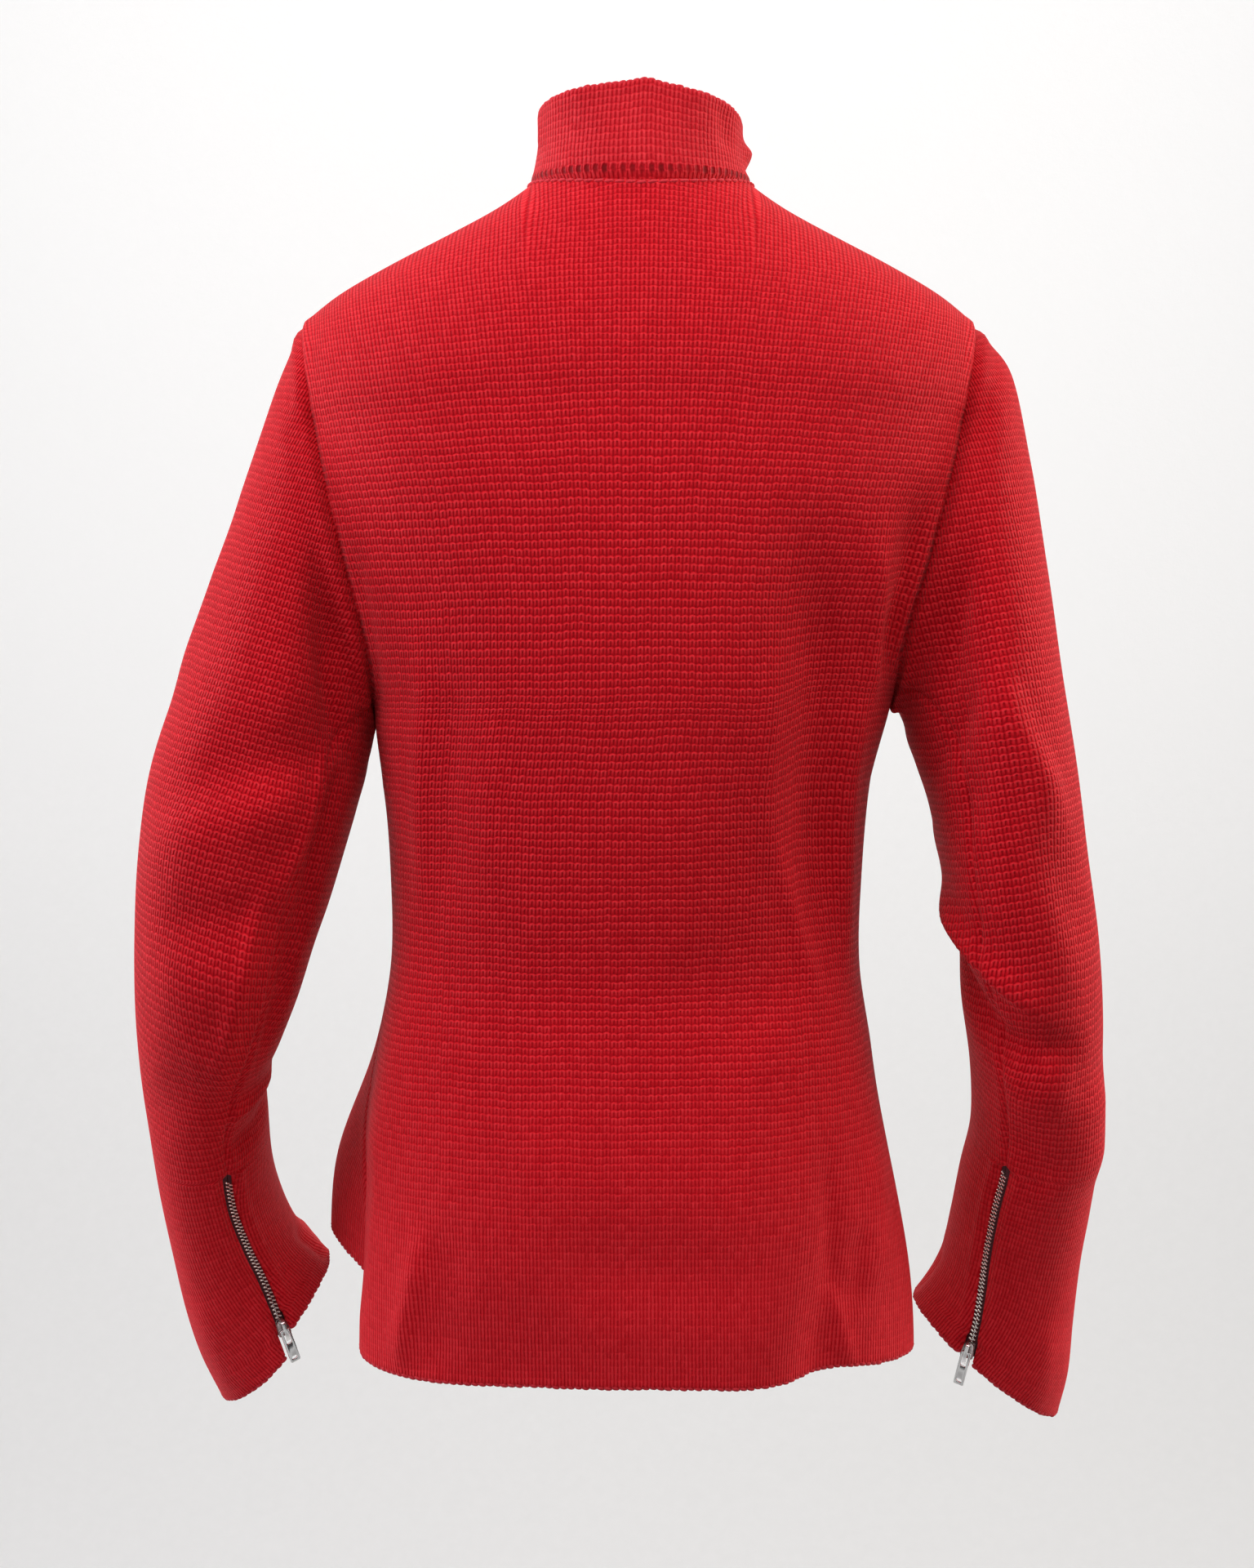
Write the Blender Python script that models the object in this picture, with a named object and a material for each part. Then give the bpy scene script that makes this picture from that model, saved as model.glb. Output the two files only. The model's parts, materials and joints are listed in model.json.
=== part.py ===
"""A thick knitted sweater with a stand collar and a metal zip in the back seam of each cuff.

The garment keeps the hollow form of a worn one, with nothing inside it. Blender 4.5, metres,
+Z up. The front faces -Y and the wearer's left is +X. The origin is the neck seam's level at the
middle of the neck. Tables are in millimetres.

Every panel is a wall between an outer grid of points and the same grid moved in. Points on a
seam are shared by the pieces that meet there, so each piece's edge is cut back from the same line.
"""

import math
from collections import namedtuple

import bmesh
import bpy
import numpy as np
from mathutils import Matrix

MM = 0.001
WALL = 3.0  # the knitted cloth
COLLAR_WALL = 4.0
SEAM_GAP = 0.3
SAME_WAY = 0.8  # the cosine between normals that count as one at a seam
KEY_STEPS = 31 * math.pi  # in a millimetre, so that no round size is halfway between two
SHARP_ANGLE = 50  # in degrees, from which an edge is not smoothed
RING_POINTS = 241  # on a sleeve's ring before its columns are placed

# How finely the faceted pieces are cut.
TRUNK_STEPS = 13  # rows of faces from hem to armpit
ARMHOLE_STEPS = 11  # rows of faces from armpit to shoulder tip
YOKE_STEPS = 4  # of those, the ones above the shoulder blades
NECK_STEPS = 5  # columns of faces on half a panel's neck edge
SHOULDER_STEPS = 6  # and on one shoulder seam
NECK_SHARE = 0.4  # the share of half a panel's width that ends at the neck
SLOPE_POWER = 1.8  # above 1, the cloth below the neck leans forward late in its rise
SLEEVE_STEPS = 15  # rows of faces from the armhole to the zip's top
ZIP_STEPS = 6  # and on to the cuff hem
ZIP_TOP_RING = {"left": 10.45, "right": 10.15}  # where the slot ends, in rings of the table
SLOT_END = 0.07  # the rings over which the slot closes
SEAM_START = 1  # the sleeve seam starts this many rows above the armpit, at the back

# The body below the armpits: height, half width, depth to the back and to the front, and the
# power of the section's superellipse, which is squarer where it is higher.
Trunk = namedtuple("Trunk", "height half_width back front power")
TRUNK = [
    Trunk(-653, 150, 114, 110, 2.9),
    Trunk(-600, 150, 113, 107, 2.7),
    Trunk(-545, 147, 106, 102, 2.5),
    Trunk(-490, 141, 94, 97, 2.4),
    Trunk(-440, 134, 86, 97, 2.3),
    Trunk(-390, 135, 89, 105, 2.3),
    Trunk(-345, 139, 97, 116, 2.3),
]

# From armpit to shoulder blade: the armhole edge at the back and the front, and the middles.
Level = namedtuple(
    "Level", "x z back_y back_mid_y back_mid_z front_y front_mid_y front_mid_z power"
)
ARMHOLE = [
    Level(147, -306, 0, 103, -303, 0, 122, -303, 2.3),
    Level(148, -286, 26, 105, -282, 26, 124, -282, 2.3),
    Level(152, -256, 43, 106, -252, 41, 125, -254, 2.3),
    Level(163, -212, 53, 106, -208, 47, 123, -214, 2.3),
    Level(174, -168, 52, 104, -162, 42, 117, -174, 2.3),
    Level(183, -130, 41, 100, -118, 32, 108, -138, 2.3),
]

# The shoulder seam, from the side of the neck to the shoulder tip.
Shoulder = namedtuple("Shoulder", "x y z")
SHOULDER = [
    Shoulder(64, 2, 3),
    Shoulder(83, 2, -10),
    Shoulder(111, 1, -25),
    Shoulder(142, 0, -41),
    Shoulder(172, -3, -58),
    Shoulder(195, -5, -76),
]
NECK_BACK_DEPTH = 65
NECK_FRONT_DEPTH = 62
NECK_FRONT_DROP = 58

# How far the body leans to the wearer's left, by height.
SWAY_HEIGHTS = [-655, -450, -340, -284, -128, -60, 0]
SWAY = [9, 9, 8, 3, 2, 1, 0]
RIGHT_ARMPIT_LIFT = 9
ARMPIT_HEIGHT = -300
ARMPIT_REACH = 62

# Folds that run up from the hem: angle from the back's middle towards the wearer's left in
# degrees, rise, half width in degrees, and how far up they reach.
Flute = namedtuple("Flute", "angle rise half_width reach")
FLUTES = [
    Flute(107, 29, 13, 250),
    Flute(86, -11, 9, 130),
    Flute(70, 4, 10, 320),
    Flute(28, -3, 13, 120),
    Flute(-30, 4, 12, 130),
    Flute(-52, -9, 8, 110),
    Flute(-81, 14, 12, 160),
    Flute(-134, 10, 16, 190),
    Flute(-160, -5, 12, 120),
    Flute(172, 6, 13, 150),
    Flute(148, -7, 11, 140),
]
# Where the hem is lifted: angle, lift, half width in degrees.
Lift = namedtuple("Lift", "angle lift half_width")
HEM_LIFTS = [Lift(107, 50, 23), Lift(-54, 4, 12), Lift(-140, 8, 22), Lift(172, 5, 24)]
HEM_LIFT_REACH = 180

COLLAR_TOP_HALF_WIDTH = 56
COLLAR_TOP_BACK = 52
COLLAR_TOP_FRONT = 66
COLLAR_HEIGHT = 55
COLLAR_SIDE_HEIGHT = 47
COLLAR_SWELL = 2.5
COLLAR_STEPS = 4

# Rings down a sleeve: the outer and the inner point seen from behind, the ring's middle in depth,
# half its depth, how much lower its back is than its middle, and the seam's angle from the outer
# point round the back, in degrees.
Ring = namedtuple("Ring", "outer_x outer_z inner_x inner_z y half_depth drop seam")
SLEEVES = {
    "left": [
        Ring(209, -112, 155, -319, 2, 57, 0, 146),
        Ring(227, -166, 158, -334, 4, 60, 0, 138),
        Ring(244, -222, 163, -353, 7, 62, 2, 133),
        Ring(263, -277, 170, -378, 10, 61, 2, 132),
        Ring(279, -327, 178, -405, 12, 59, 3, 134),
        Ring(286, -374, 187, -431, 12, 57, 6, 136),
        Ring(289, -422, 196, -459, 8, 55, 10, 136),
        Ring(290, -464, 207, -486, 0, 52, 14, 133),
        Ring(289, -500, 217, -509, -10, 48, 15, 126),
        Ring(286, -538, 218, -536, -22, 45, 15, 119),
        Ring(282, -577, 217, -566, -33, 43, 14, 118),
        Ring(276, -616, 212, -590, -43, 42, 13, 121),
        Ring(270, -650, 204, -609, -51, 42, 12, 122),
        Ring(262, -679, 195, -620, -57, 43, 11, 117),
        Ring(251, -704, 187, -629, -62, 44, 11, 111),
    ],
    "right": [
        Ring(-212, -103, -150, -302, 2, 57, 0, 146),
        Ring(-223, -155, -153, -314, 4, 60, 0, 138),
        Ring(-232, -215, -158, -329, 7, 62, 2, 133),
        Ring(-240, -275, -165, -351, 10, 61, 2, 132),
        Ring(-248, -327, -170, -377, 12, 59, 3, 133),
        Ring(-254, -375, -174, -402, 12, 57, 6, 134),
        Ring(-261, -423, -180, -431, 8, 55, 10, 134),
        Ring(-265, -468, -185, -466, 0, 52, 14, 132),
        Ring(-266, -510, -191, -503, -10, 48, 15, 128),
        Ring(-267, -550, -193, -540, -22, 45, 15, 127),
        Ring(-264, -586, -188, -570, -33, 43, 14, 127),
        Ring(-260, -620, -184, -598, -43, 42, 12, 126),
        Ring(-257, -658, -180, -620, -51, 42, 10, 123),
        Ring(-255, -691, -173, -636, -57, 43, 8, 118),
        Ring(-250, -716, -164, -650, -62, 44, 7, 113),
    ],
}
SIDE = {"left": 1, "right": -1}

# The zip: the parts across it and up it.
CHAIN_SET_IN = 0.6  # from the chain's top to the slot's end
CHAIN_WIDTH = 5.2
CHAIN_PROUD = 0.3
CHAIN_DEPTH = 2.4
SLOT_SIDE_GAP = 0.4
TAPE_WALL = 1.0
TAPE_GAP = 0.6  # between a tape and the cloth that it lies behind
TAPE_SET_IN = 2.5  # from the tape's lower end to the hem
TAPE_PAST = 6.0  # above the chain
RINGS_APART = 0.1  # the least part of a ring between two rows of a strip

SLIDER_LENGTH = 9.5
SLIDER_WIDTH = 8.0
SLIDER_FOOT_WIDTH = 6.6
SLIDER_TOP = 2.4  # above the cloth's face
SLIDER_BOTTOM = -2.2
SLIDER_PLATE = 1.2
SLIDER_WAIST = 4.4
SLIDER_SET_IN = 1.0  # from the slider's lower end to the hem
BRIDGE_LENGTH = 7.4
BRIDGE_WIDTH = 1.8
BRIDGE_BAR = 1.1
BRIDGE_ROOM = 2.0  # under the bridge, for the pull tab's end bar

PULL_LENGTH = 20.0
PULL_WIDTH = 6.2
PULL_THICKNESS = 1.2
PULL_END_BAR = 1.2
PULL_WINDOW_LENGTH = 7.4
PULL_WINDOW_WIDTH = 3.4
PULL_SLOT_LENGTH = 1.7
PULL_SLOT_WIDTH = 3.2
PULL_SLOT_EDGE = 1.7
PULL_SLOT_ROUNDING = 0.8
PULL_ROUNDING = 0.7
PULL_CORNER_STEPS = 3
WELD = 0.01
PULL_PIVOT_UP = -1.6  # the end bar's place under the bridge, up the zip from the slider's middle
PULL_PIVOT_OUT = SLIDER_TOP + BRIDGE_ROOM / 2

RED = (0.60, 0.045, 0.06, 1.0)
TAPE_RED = (0.10, 0.01, 0.02, 1.0)
STEEL = (0.45, 0.45, 0.47, 1.0)
CHROME = (0.75, 0.75, 0.78, 1.0)


def curve(rows, at):
    """Points on a smooth curve through the rows, at these fractional row numbers."""
    rows = np.asarray(rows, float)
    rows = np.concatenate([2 * rows[:1] - rows[1:2], rows, 2 * rows[-1:] - rows[-2:-1]])
    at = np.atleast_1d(np.asarray(at, float))
    first = np.clip(np.floor(at).astype(int), 0, len(rows) - 4)
    part = (at - first).reshape(-1, *[1] * (rows.ndim - 1))
    a, b, c, d = (rows[first + k] for k in range(4))
    return b + 0.5 * part * (c - a + part * (2 * a - 5 * b + 4 * c - d + part * (3 * (b - c) + d - a)))


def ease(x):
    """From 0 to 1 as x goes from 0 to 1, level at both ends."""
    x = np.clip(x, 0.0, 1.0)
    return x * x * (3 - 2 * x)


def bell(angle, middle, half_width):
    """1 at the middle angle and near 0 beyond the half width, round the full circle."""
    turn = (angle - middle + 180) % 360 - 180
    return np.exp(-((turn / half_width) ** 2))


def torso_rows():
    """One row per level from hem to shoulder blade, in Level's columns."""
    trunk = [
        Level(t.half_width, t.height, 0, t.back, t.height, 0, t.front, t.height, t.power)
        for t in TRUNK
    ]
    return np.array(trunk + ARMHOLE, float)


ARMPIT_ROW = len(TRUNK)
BLADE_ROW = len(TRUNK) + len(ARMHOLE) - 1


def level_row(front, across, row):
    """Points of a panel across one level below the shoulder blades. across runs from -1 to 1."""
    level = Level(*curve(torso_rows(), row)[0])
    x, z, power = level.x, level.z, level.power
    edge_y, depth, mid_z = level.back_y, level.back_mid_y, level.back_mid_z
    if front:
        edge_y, depth, mid_z = level.front_y, level.front_mid_y, level.front_mid_z
    edge_y = max(edge_y, 0.0)
    half = x / (1 - (edge_y / depth) ** power) ** (1 / power)
    turn = across * math.atan2(x, edge_y)
    sine, cosine = np.sin(turn), np.cos(turn)
    reach = np.abs(sine / half) ** power + np.abs(cosine / depth) ** power
    radius = reach ** (-1 / power)
    angle = 180 - np.degrees(turn) if front else np.degrees(turn)
    above_hem = z - TRUNK[0].height
    for fold in FLUTES:
        fade = ease(1 - above_hem / fold.reach)
        radius = radius + fold.rise * fade * bell(angle, fold.angle, fold.half_width)
    height = z + (mid_z - z) * (1 - across**2)
    for lift in HEM_LIFTS:
        fade = ease(1 - above_hem / HEM_LIFT_REACH)
        height = height + lift.lift * fade * bell(angle, lift.angle, lift.half_width)
    depth_sign = -1 if front else 1
    return np.stack([radius * sine, depth_sign * radius * cosine, height], axis=-1)


def neck_point(front, turn):
    """The neck seam at this angle from the panel's middle."""
    sine, cosine = np.sin(turn), np.cos(turn)
    side = SHOULDER[0]
    depth = -NECK_FRONT_DEPTH if front else NECK_BACK_DEPTH
    drop = NECK_FRONT_DROP if front else 0
    height = side.z * np.abs(sine) - drop * cosine**2
    return np.stack([side.x * sine, side.y + (depth - side.y) * cosine, height], axis=-1)


def top_edge(front, across):
    """A panel's top edge: the neck seam in the middle, and a shoulder seam on each side."""
    out = np.abs(across)
    neck = neck_point(front, np.clip(out / NECK_SHARE, 0, 1) * math.pi / 2)
    along = np.clip((out - NECK_SHARE) / (1 - NECK_SHARE), 0, 1) * (len(SHOULDER) - 1)
    edge = np.where(out[:, None] <= NECK_SHARE, neck, curve(SHOULDER, along))
    edge[:, 0] *= np.sign(across)
    return edge


def yoke_row(front, across, up):
    """Points across a panel between the shoulder blades, where up is 0, and its top edge at 1.

    Below a shoulder seam the cloth turns over in a quarter of an ellipse. Below the neck it runs
    in a slope.
    """
    low = level_row(front, across, BLADE_ROW)
    high = top_edge(front, across)
    turn = up * math.pi / 2
    over = np.stack(
        [
            low[:, 0] + (high[:, 0] - low[:, 0]) * math.sin(turn),
            high[:, 1] + (low[:, 1] - high[:, 1]) * math.cos(turn),
            low[:, 2] + (high[:, 2] - low[:, 2]) * math.sin(turn),
        ],
        axis=-1,
    )
    slope = low + (high - low) * np.array([up, up**SLOPE_POWER, up])
    round_share = ease(np.abs(across) / NECK_SHARE)[:, None]
    return slope + (over - slope) * round_share


def settle(points):
    """Leans the body to one side and lifts the right armpit, as it hangs."""
    x, z = points[..., 0], points[..., 2]
    moved = points.copy()
    moved[..., 0] = x + np.interp(z, SWAY_HEIGHTS, SWAY)
    rise = np.exp(-(((z - ARMPIT_HEIGHT) / ARMPIT_REACH) ** 2)) * ease((-x - 60) / 80)
    moved[..., 2] = z + RIGHT_ARMPIT_LIFT * rise
    return moved


def torso_grid(front):
    """The outer points of the back or the front panel, a row per level and a column across."""
    neck = np.linspace(0, NECK_SHARE, NECK_STEPS + 1)
    shoulder = np.linspace(NECK_SHARE, 1, SHOULDER_STEPS + 1)
    half = np.concatenate([neck, shoulder[1:]])
    across = np.concatenate([-half[:0:-1], half])
    levels = [
        *np.linspace(0, ARMPIT_ROW, TRUNK_STEPS + 1),
        *np.linspace(ARMPIT_ROW, BLADE_ROW, ARMHOLE_STEPS - YOKE_STEPS + 1)[1:],
    ]
    rows = [level_row(front, across, level) for level in levels]
    rows += [yoke_row(front, across, up) for up in np.linspace(0, 1, YOKE_STEPS + 1)[1:]]
    return settle(np.array(rows))


def collar_grid(back, front):
    """The outer points of the collar, from the panels' neck edges up. Its last column is its
    first, so that it closes."""
    middle = NECK_STEPS + SHOULDER_STEPS
    neck = slice(middle - NECK_STEPS, middle + NECK_STEPS + 1)
    seam = np.concatenate([back[-1, neck], front[-1, neck][::-1][1:]])
    quarter = np.linspace(-math.pi / 2, math.pi / 2, 2 * NECK_STEPS + 1)
    turn = np.concatenate([quarter, quarter[1:] + math.pi])
    sine, cosine = np.sin(turn), np.cos(turn)
    ahead = cosine < 0
    depth = np.where(ahead, COLLAR_TOP_FRONT, COLLAR_TOP_BACK)
    rise = COLLAR_HEIGHT - COLLAR_SIDE_HEIGHT
    height = COLLAR_SIDE_HEIGHT + np.where(ahead, -COLLAR_SIDE_HEIGHT, rise) * cosine**2
    top = np.stack([COLLAR_TOP_HALF_WIDTH * sine, depth * cosine, height], axis=-1)
    swell = np.stack([sine, cosine, 0 * sine], axis=-1) * COLLAR_SWELL
    ups = np.linspace(0, 1, COLLAR_STEPS + 1)
    return np.array([seam + (top - seam) * up + swell * 4 * up * (1 - up) for up in ups])


def armhole_ring(back, front, side):
    """The points of one armhole, from the sleeve seam's start up the back and down the front to
    the armpit and the seam again."""
    edge = -1 if side == "left" else 0
    up = back[TRUNK_STEPS:, edge]
    down = front[TRUNK_STEPS:, edge][::-1]
    loop = np.concatenate([up[SEAM_START:], down[1:], up[1 : SEAM_START + 1]])
    return loop


def ring_points(ring, shares):
    """Points on one ring of a sleeve at these shares of its length round from the seam."""
    outer = np.array([ring.outer_x, ring.y, ring.outer_z], float)
    inner = np.array([ring.inner_x, ring.y, ring.inner_z], float)
    middle, to_outer = (outer + inner) / 2, (outer - inner) / 2
    to_back = np.array([0, ring.half_depth, -ring.drop], float)
    turn = math.radians(ring.seam) - np.linspace(0, 2 * math.pi, RING_POINTS)[:, None]
    loop = middle + to_outer * np.cos(turn) + to_back * np.sin(turn)
    length = np.concatenate([[0], np.cumsum(np.linalg.norm(np.diff(loop, axis=0), axis=1))])
    return np.stack([np.interp(shares, length / length[-1], loop[:, k]) for k in range(3)], axis=-1)


def sleeve_grid(back, front, side):
    """The outer points of a sleeve, a row per ring from armhole to cuff and a column round it."""
    armhole = armhole_ring(back, front, side)
    length = np.concatenate([[0], np.cumsum(np.linalg.norm(np.diff(armhole, axis=0), axis=1))])
    shares = length / length[-1]
    rings = np.array([armhole] + [ring_points(ring, shares) for ring in SLEEVES[side]])
    top = ZIP_TOP_RING[side]
    above = np.linspace(0, top - SLOT_END, SLEEVE_STEPS + 1)
    below = np.linspace(top, len(rings) - 1, ZIP_STEPS + 1)
    return curve(rings, np.concatenate([above, below]))


def unit(vectors):
    """The vectors at length 1."""
    return vectors / np.maximum(np.linalg.norm(vectors, axis=-1, keepdims=True), 1e-12)


def grid_normals(grid, outward):
    """The normal at each point of a grid, from its own faces. outward is 1 or -1."""
    normals = np.zeros_like(grid)
    across, up = np.diff(grid, axis=1), np.diff(grid, axis=0)
    face = np.cross(across[:-1], up[:, :-1]) + np.cross(across[1:], up[:, 1:])
    for row, column in ((0, 0), (0, 1), (1, 0), (1, 1)):
        rows = slice(row, grid.shape[0] - 1 + row)
        columns = slice(column, grid.shape[1] - 1 + column)
        normals[rows, columns] += face
    return unit(normals) * outward


def key(point):
    """A point as a dictionary key, to about a hundredth of a millimetre."""
    return tuple(np.round(np.asarray(point) * KEY_STEPS).astype(int))


class Panel:
    """A piece of cloth: its outer grid, which edges are seams, and its wall."""

    def __init__(self, name, grid, outward, wall, seams, closed=False):
        self.name, self.grid, self.wall, self.closed = name, grid, wall, closed
        self.seams = seams  # of "low", "high", "first", "last"
        self.normals = grid_normals(grid, outward)
        if closed:
            ends = unit(self.normals[:, 0] + self.normals[:, -1])
            self.normals[:, 0] = self.normals[:, -1] = ends

    def border(self, edge):
        """Index of this edge's points, and of the points next to them inside the piece."""
        every = slice(None)
        return {
            "low": ((0, every), (1, every)),
            "high": ((-1, every), (-2, every)),
            "first": ((every, 0), (every, 1)),
            "last": ((every, -1), (every, -2)),
        }[edge]


def share_normals(panels):
    """Gives each point on a seam the mean of the directions that meet there. Pieces that face
    nearly the same way count as one, so that the wall halves a fold such as the armpit's."""
    met = {}
    for panel in panels:
        for edge in panel.seams:
            index = panel.border(edge)[0]
            for point, normal in zip(panel.grid[index], panel.normals[index]):
                ways = met.setdefault(key(point), [])
                like = [way for way in ways if np.dot(unit(way), normal) > SAME_WAY]
                if like:
                    like[0] += normal
                else:
                    ways.append(normal.copy())
    for panel in panels:
        for edge in panel.seams:
            index = panel.border(edge)[0]
            shared = [sum(unit(way) for way in met[key(point)]) for point in panel.grid[index]]
            panel.normals[index] = unit(np.array(shared))


def seam_shift(panel, opening):
    """How far each point is cut back from its seams, as vectors. opening gives half the width of
    the slot on a sleeve's seam, a number per ring, and is None for the other pieces."""
    shift = np.zeros_like(panel.grid)
    for edge in panel.seams:
        index, inside = panel.border(edge)
        line = panel.grid[index]
        along = unit(np.gradient(line, axis=0))
        if opening is not None and edge in ("first", "last"):
            inward = unit(panel.grid[inside] - line)
            square = np.linalg.norm(np.cross(inward, along), axis=-1, keepdims=True)
            shift[index] += inward / square * opening[:, None]
        else:
            inward = unit(np.cross(along, panel.normals[index]))
            sign = np.sum(inward * (panel.grid[inside] - line), axis=-1, keepdims=True)
            shift[index] += inward * np.sign(sign) * SEAM_GAP / 2
    return shift


def wall_mesh(name, outer, inner, closed, order):
    """A closed mesh between two like grids of points, in metres.

    order holds the points before they were cut back. A rim's faces are split from the lower of
    two neighbours there, so that two rims that face each other are split alike.
    """
    rows, columns = outer.shape[:2]
    around = columns - 1 if closed else columns
    mesh = bmesh.new()
    skins = [[[mesh.verts.new(p * MM) for p in row[:around]] for row in g] for g in (outer, inner)]

    def split(a, b, c, d):
        mesh.faces.new((a, b, c))
        mesh.faces.new((a, c, d))

    def rim(first, second):
        corners = ((0, first), (0, second), (1, second), (1, first))
        ends = [skins[skin][row][column % around] for skin, (row, column) in corners]
        a, b = (tuple(order[row][column % around][::-1]) for row, column in (first, second))
        if a > b:
            ends = ends[1:] + ends[:1]
        split(*ends)

    for skin in skins:
        for row in range(rows - 1):
            for column in range(columns - 1):
                beside = (column + 1) % around
                low, high = skin[row], skin[row + 1]
                split(low[column], low[beside], high[beside], high[column])
    for row in (0, rows - 1):
        for column in range(columns - 1):
            rim((row, column), (row, column + 1))
    if not closed:
        for column in (0, columns - 1):
            for row in range(rows - 1):
                rim((row, column), (row + 1, column))
    bmesh.ops.recalc_face_normals(mesh, faces=mesh.faces)
    if mesh.calc_volume(signed=True) < 0:
        bmesh.ops.reverse_faces(mesh, faces=mesh.faces)
    data = bpy.data.meshes.new(name)
    mesh.to_mesh(data)
    mesh.free()
    return data


def add_object(name, data, material, collection):
    """A new object in the collection, smooth except at its sharp edges."""
    piece = bpy.data.objects.new(name, data)
    collection.objects.link(piece)
    data.materials.append(material)
    data.shade_smooth()
    data.set_sharp_from_angle(angle=math.radians(SHARP_ANGLE))
    return piece


def add_panel(panel, material, collection, opening=None):
    """Makes a piece of cloth from its panel."""
    outer = panel.grid + seam_shift(panel, opening)
    inner = outer - panel.normals * panel.wall
    data = wall_mesh(panel.name, outer, inner, panel.closed, panel.grid)
    return add_object(panel.name, data, material, collection)


def add_strip(name, skins, material, collection):
    """Makes a narrow piece from its outer and inner points."""
    outer, inner = skins
    return add_object(name, wall_mesh(name, outer, inner, False, outer), material, collection)


class ZipLine:
    """The line of a sleeve's seam from the zip's top to the hem, with its directions."""

    def __init__(self, panel):
        self.panel = panel
        self.seam = panel.grid[:, 0]
        steps = np.linalg.norm(np.diff(self.seam, axis=0), axis=1)
        self.from_hem = np.concatenate([np.cumsum(steps[::-1])[::-1], [0]])
        self.chain_top = self.from_hem[SLEEVE_STEPS + 1] - CHAIN_SET_IN
        self.up = unit(-np.gradient(self.seam, axis=0))
        out = panel.normals[:, 0]
        self.out = unit(out - self.up * np.sum(out * self.up, axis=1, keepdims=True))

    def ring_at(self, from_hem):
        """The fractional ring number at this distance up the seam from the hem."""
        return np.interp(from_hem, self.from_hem[::-1], np.arange(len(self.seam))[::-1])

    def between(self, rows, ring):
        """A row of this array at a fractional ring number, on the straight between two rings."""
        low = min(int(ring), len(rows) - 2)
        return rows[low] + (rows[low + 1] - rows[low]) * (ring - low)

    def opening(self):
        """Half the seam's opening at each ring: a slot beside the zip, wider at the slider."""
        half = np.full(len(self.seam), SEAM_GAP / 2)
        half[SLEEVE_STEPS + 1 :] = CHAIN_WIDTH / 2 + SLOT_SIDE_GAP
        parked = np.sum(self.from_hem > SLIDER_SET_IN + SLIDER_LENGTH) - 1
        half[parked:] = SLIDER_WIDTH / 2 + SLOT_SIDE_GAP
        return half

    def rings(self, low, high):
        """Fractional ring numbers from one distance above the hem to another, with every whole
        ring between them."""
        ends = self.ring_at(high), self.ring_at(low)
        first, last = ends[0] + RINGS_APART, ends[1] - RINGS_APART
        whole = [n for n in range(len(self.seam)) if first < n < last]
        return [ends[0], *whole, ends[1]]

    def frame(self, from_hem):
        """Place, direction across, direction up the zip and outward direction, at this distance."""
        ring = self.ring_at(from_hem)
        place = self.between(self.seam, ring)
        up = unit(self.between(self.up, ring))
        out = self.between(self.out, ring)
        out = unit(out - up * np.dot(out, up))
        return place, np.cross(up, out), up, out

    def chain(self):
        """The closed teeth as one bar in the slot: its outer and inner points."""
        outer, inner = [], []
        for ring in self.rings(SLIDER_SET_IN + SLIDER_LENGTH + SEAM_GAP, self.chain_top):
            distance = self.between(self.from_hem, ring)
            place, across, _, out = self.frame(distance)
            sides = across * np.array([[-1], [1]]) * CHAIN_WIDTH / 2
            outer.append(place + sides + out * CHAIN_PROUD)
            inner.append(place + sides + out * (CHAIN_PROUD - CHAIN_DEPTH))
        return np.array(outer), np.array(inner)

    def tape(self, columns):
        """One tape inside the cloth, from two neighbouring columns of the sleeve moved in."""
        outer, inner = [], []
        for ring in self.rings(TAPE_SET_IN, self.chain_top + TAPE_PAST):
            points = self.between(self.panel.grid, ring)[columns]
            normals = unit(self.between(self.panel.normals, ring)[columns])
            points = points + unit(points[1] - points[0]) * [[SEAM_GAP / 2], [0]]
            outer.append(points - normals * (WALL + TAPE_GAP))
            inner.append(points - normals * (WALL + TAPE_GAP + TAPE_WALL))
        return np.array(outer), np.array(inner)

    def matrix(self):
        """Where the slider sits: X across the zip, Y up it and Z out, in metres."""
        place, across, up, out = self.frame(SLIDER_SET_IN + SLIDER_LENGTH / 2)
        turn = Matrix(np.stack([across, up, out], axis=1).tolist()).to_4x4()
        return Matrix.Translation(place * MM) @ turn


def prism(name, outline, half_depth, upright):
    """A flat outline in millimetres given depth both ways. It stands in X and Z, or in Y and Z if
    upright is set."""
    mesh = bmesh.new()
    for_side = []
    for side in (-half_depth, half_depth):
        points = [(side, a, b) if upright else (a, side, b) for a, b in outline]
        for_side.append([mesh.verts.new(np.array(p) * MM) for p in points])
    for ring in for_side:
        mesh.faces.new(ring)
    count = len(outline)
    for n in range(count):
        beside = (n + 1) % count
        mesh.faces.new((for_side[0][n], for_side[0][beside], for_side[1][beside], for_side[1][n]))
    bmesh.ops.recalc_face_normals(mesh, faces=mesh.faces)
    data = bpy.data.meshes.new(name)
    mesh.to_mesh(data)
    mesh.free()
    return data


def both_sides(half):
    """A closed outline from its right half, given from bottom to top."""
    return half + [(-a, b) for a, b in reversed(half)]


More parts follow.
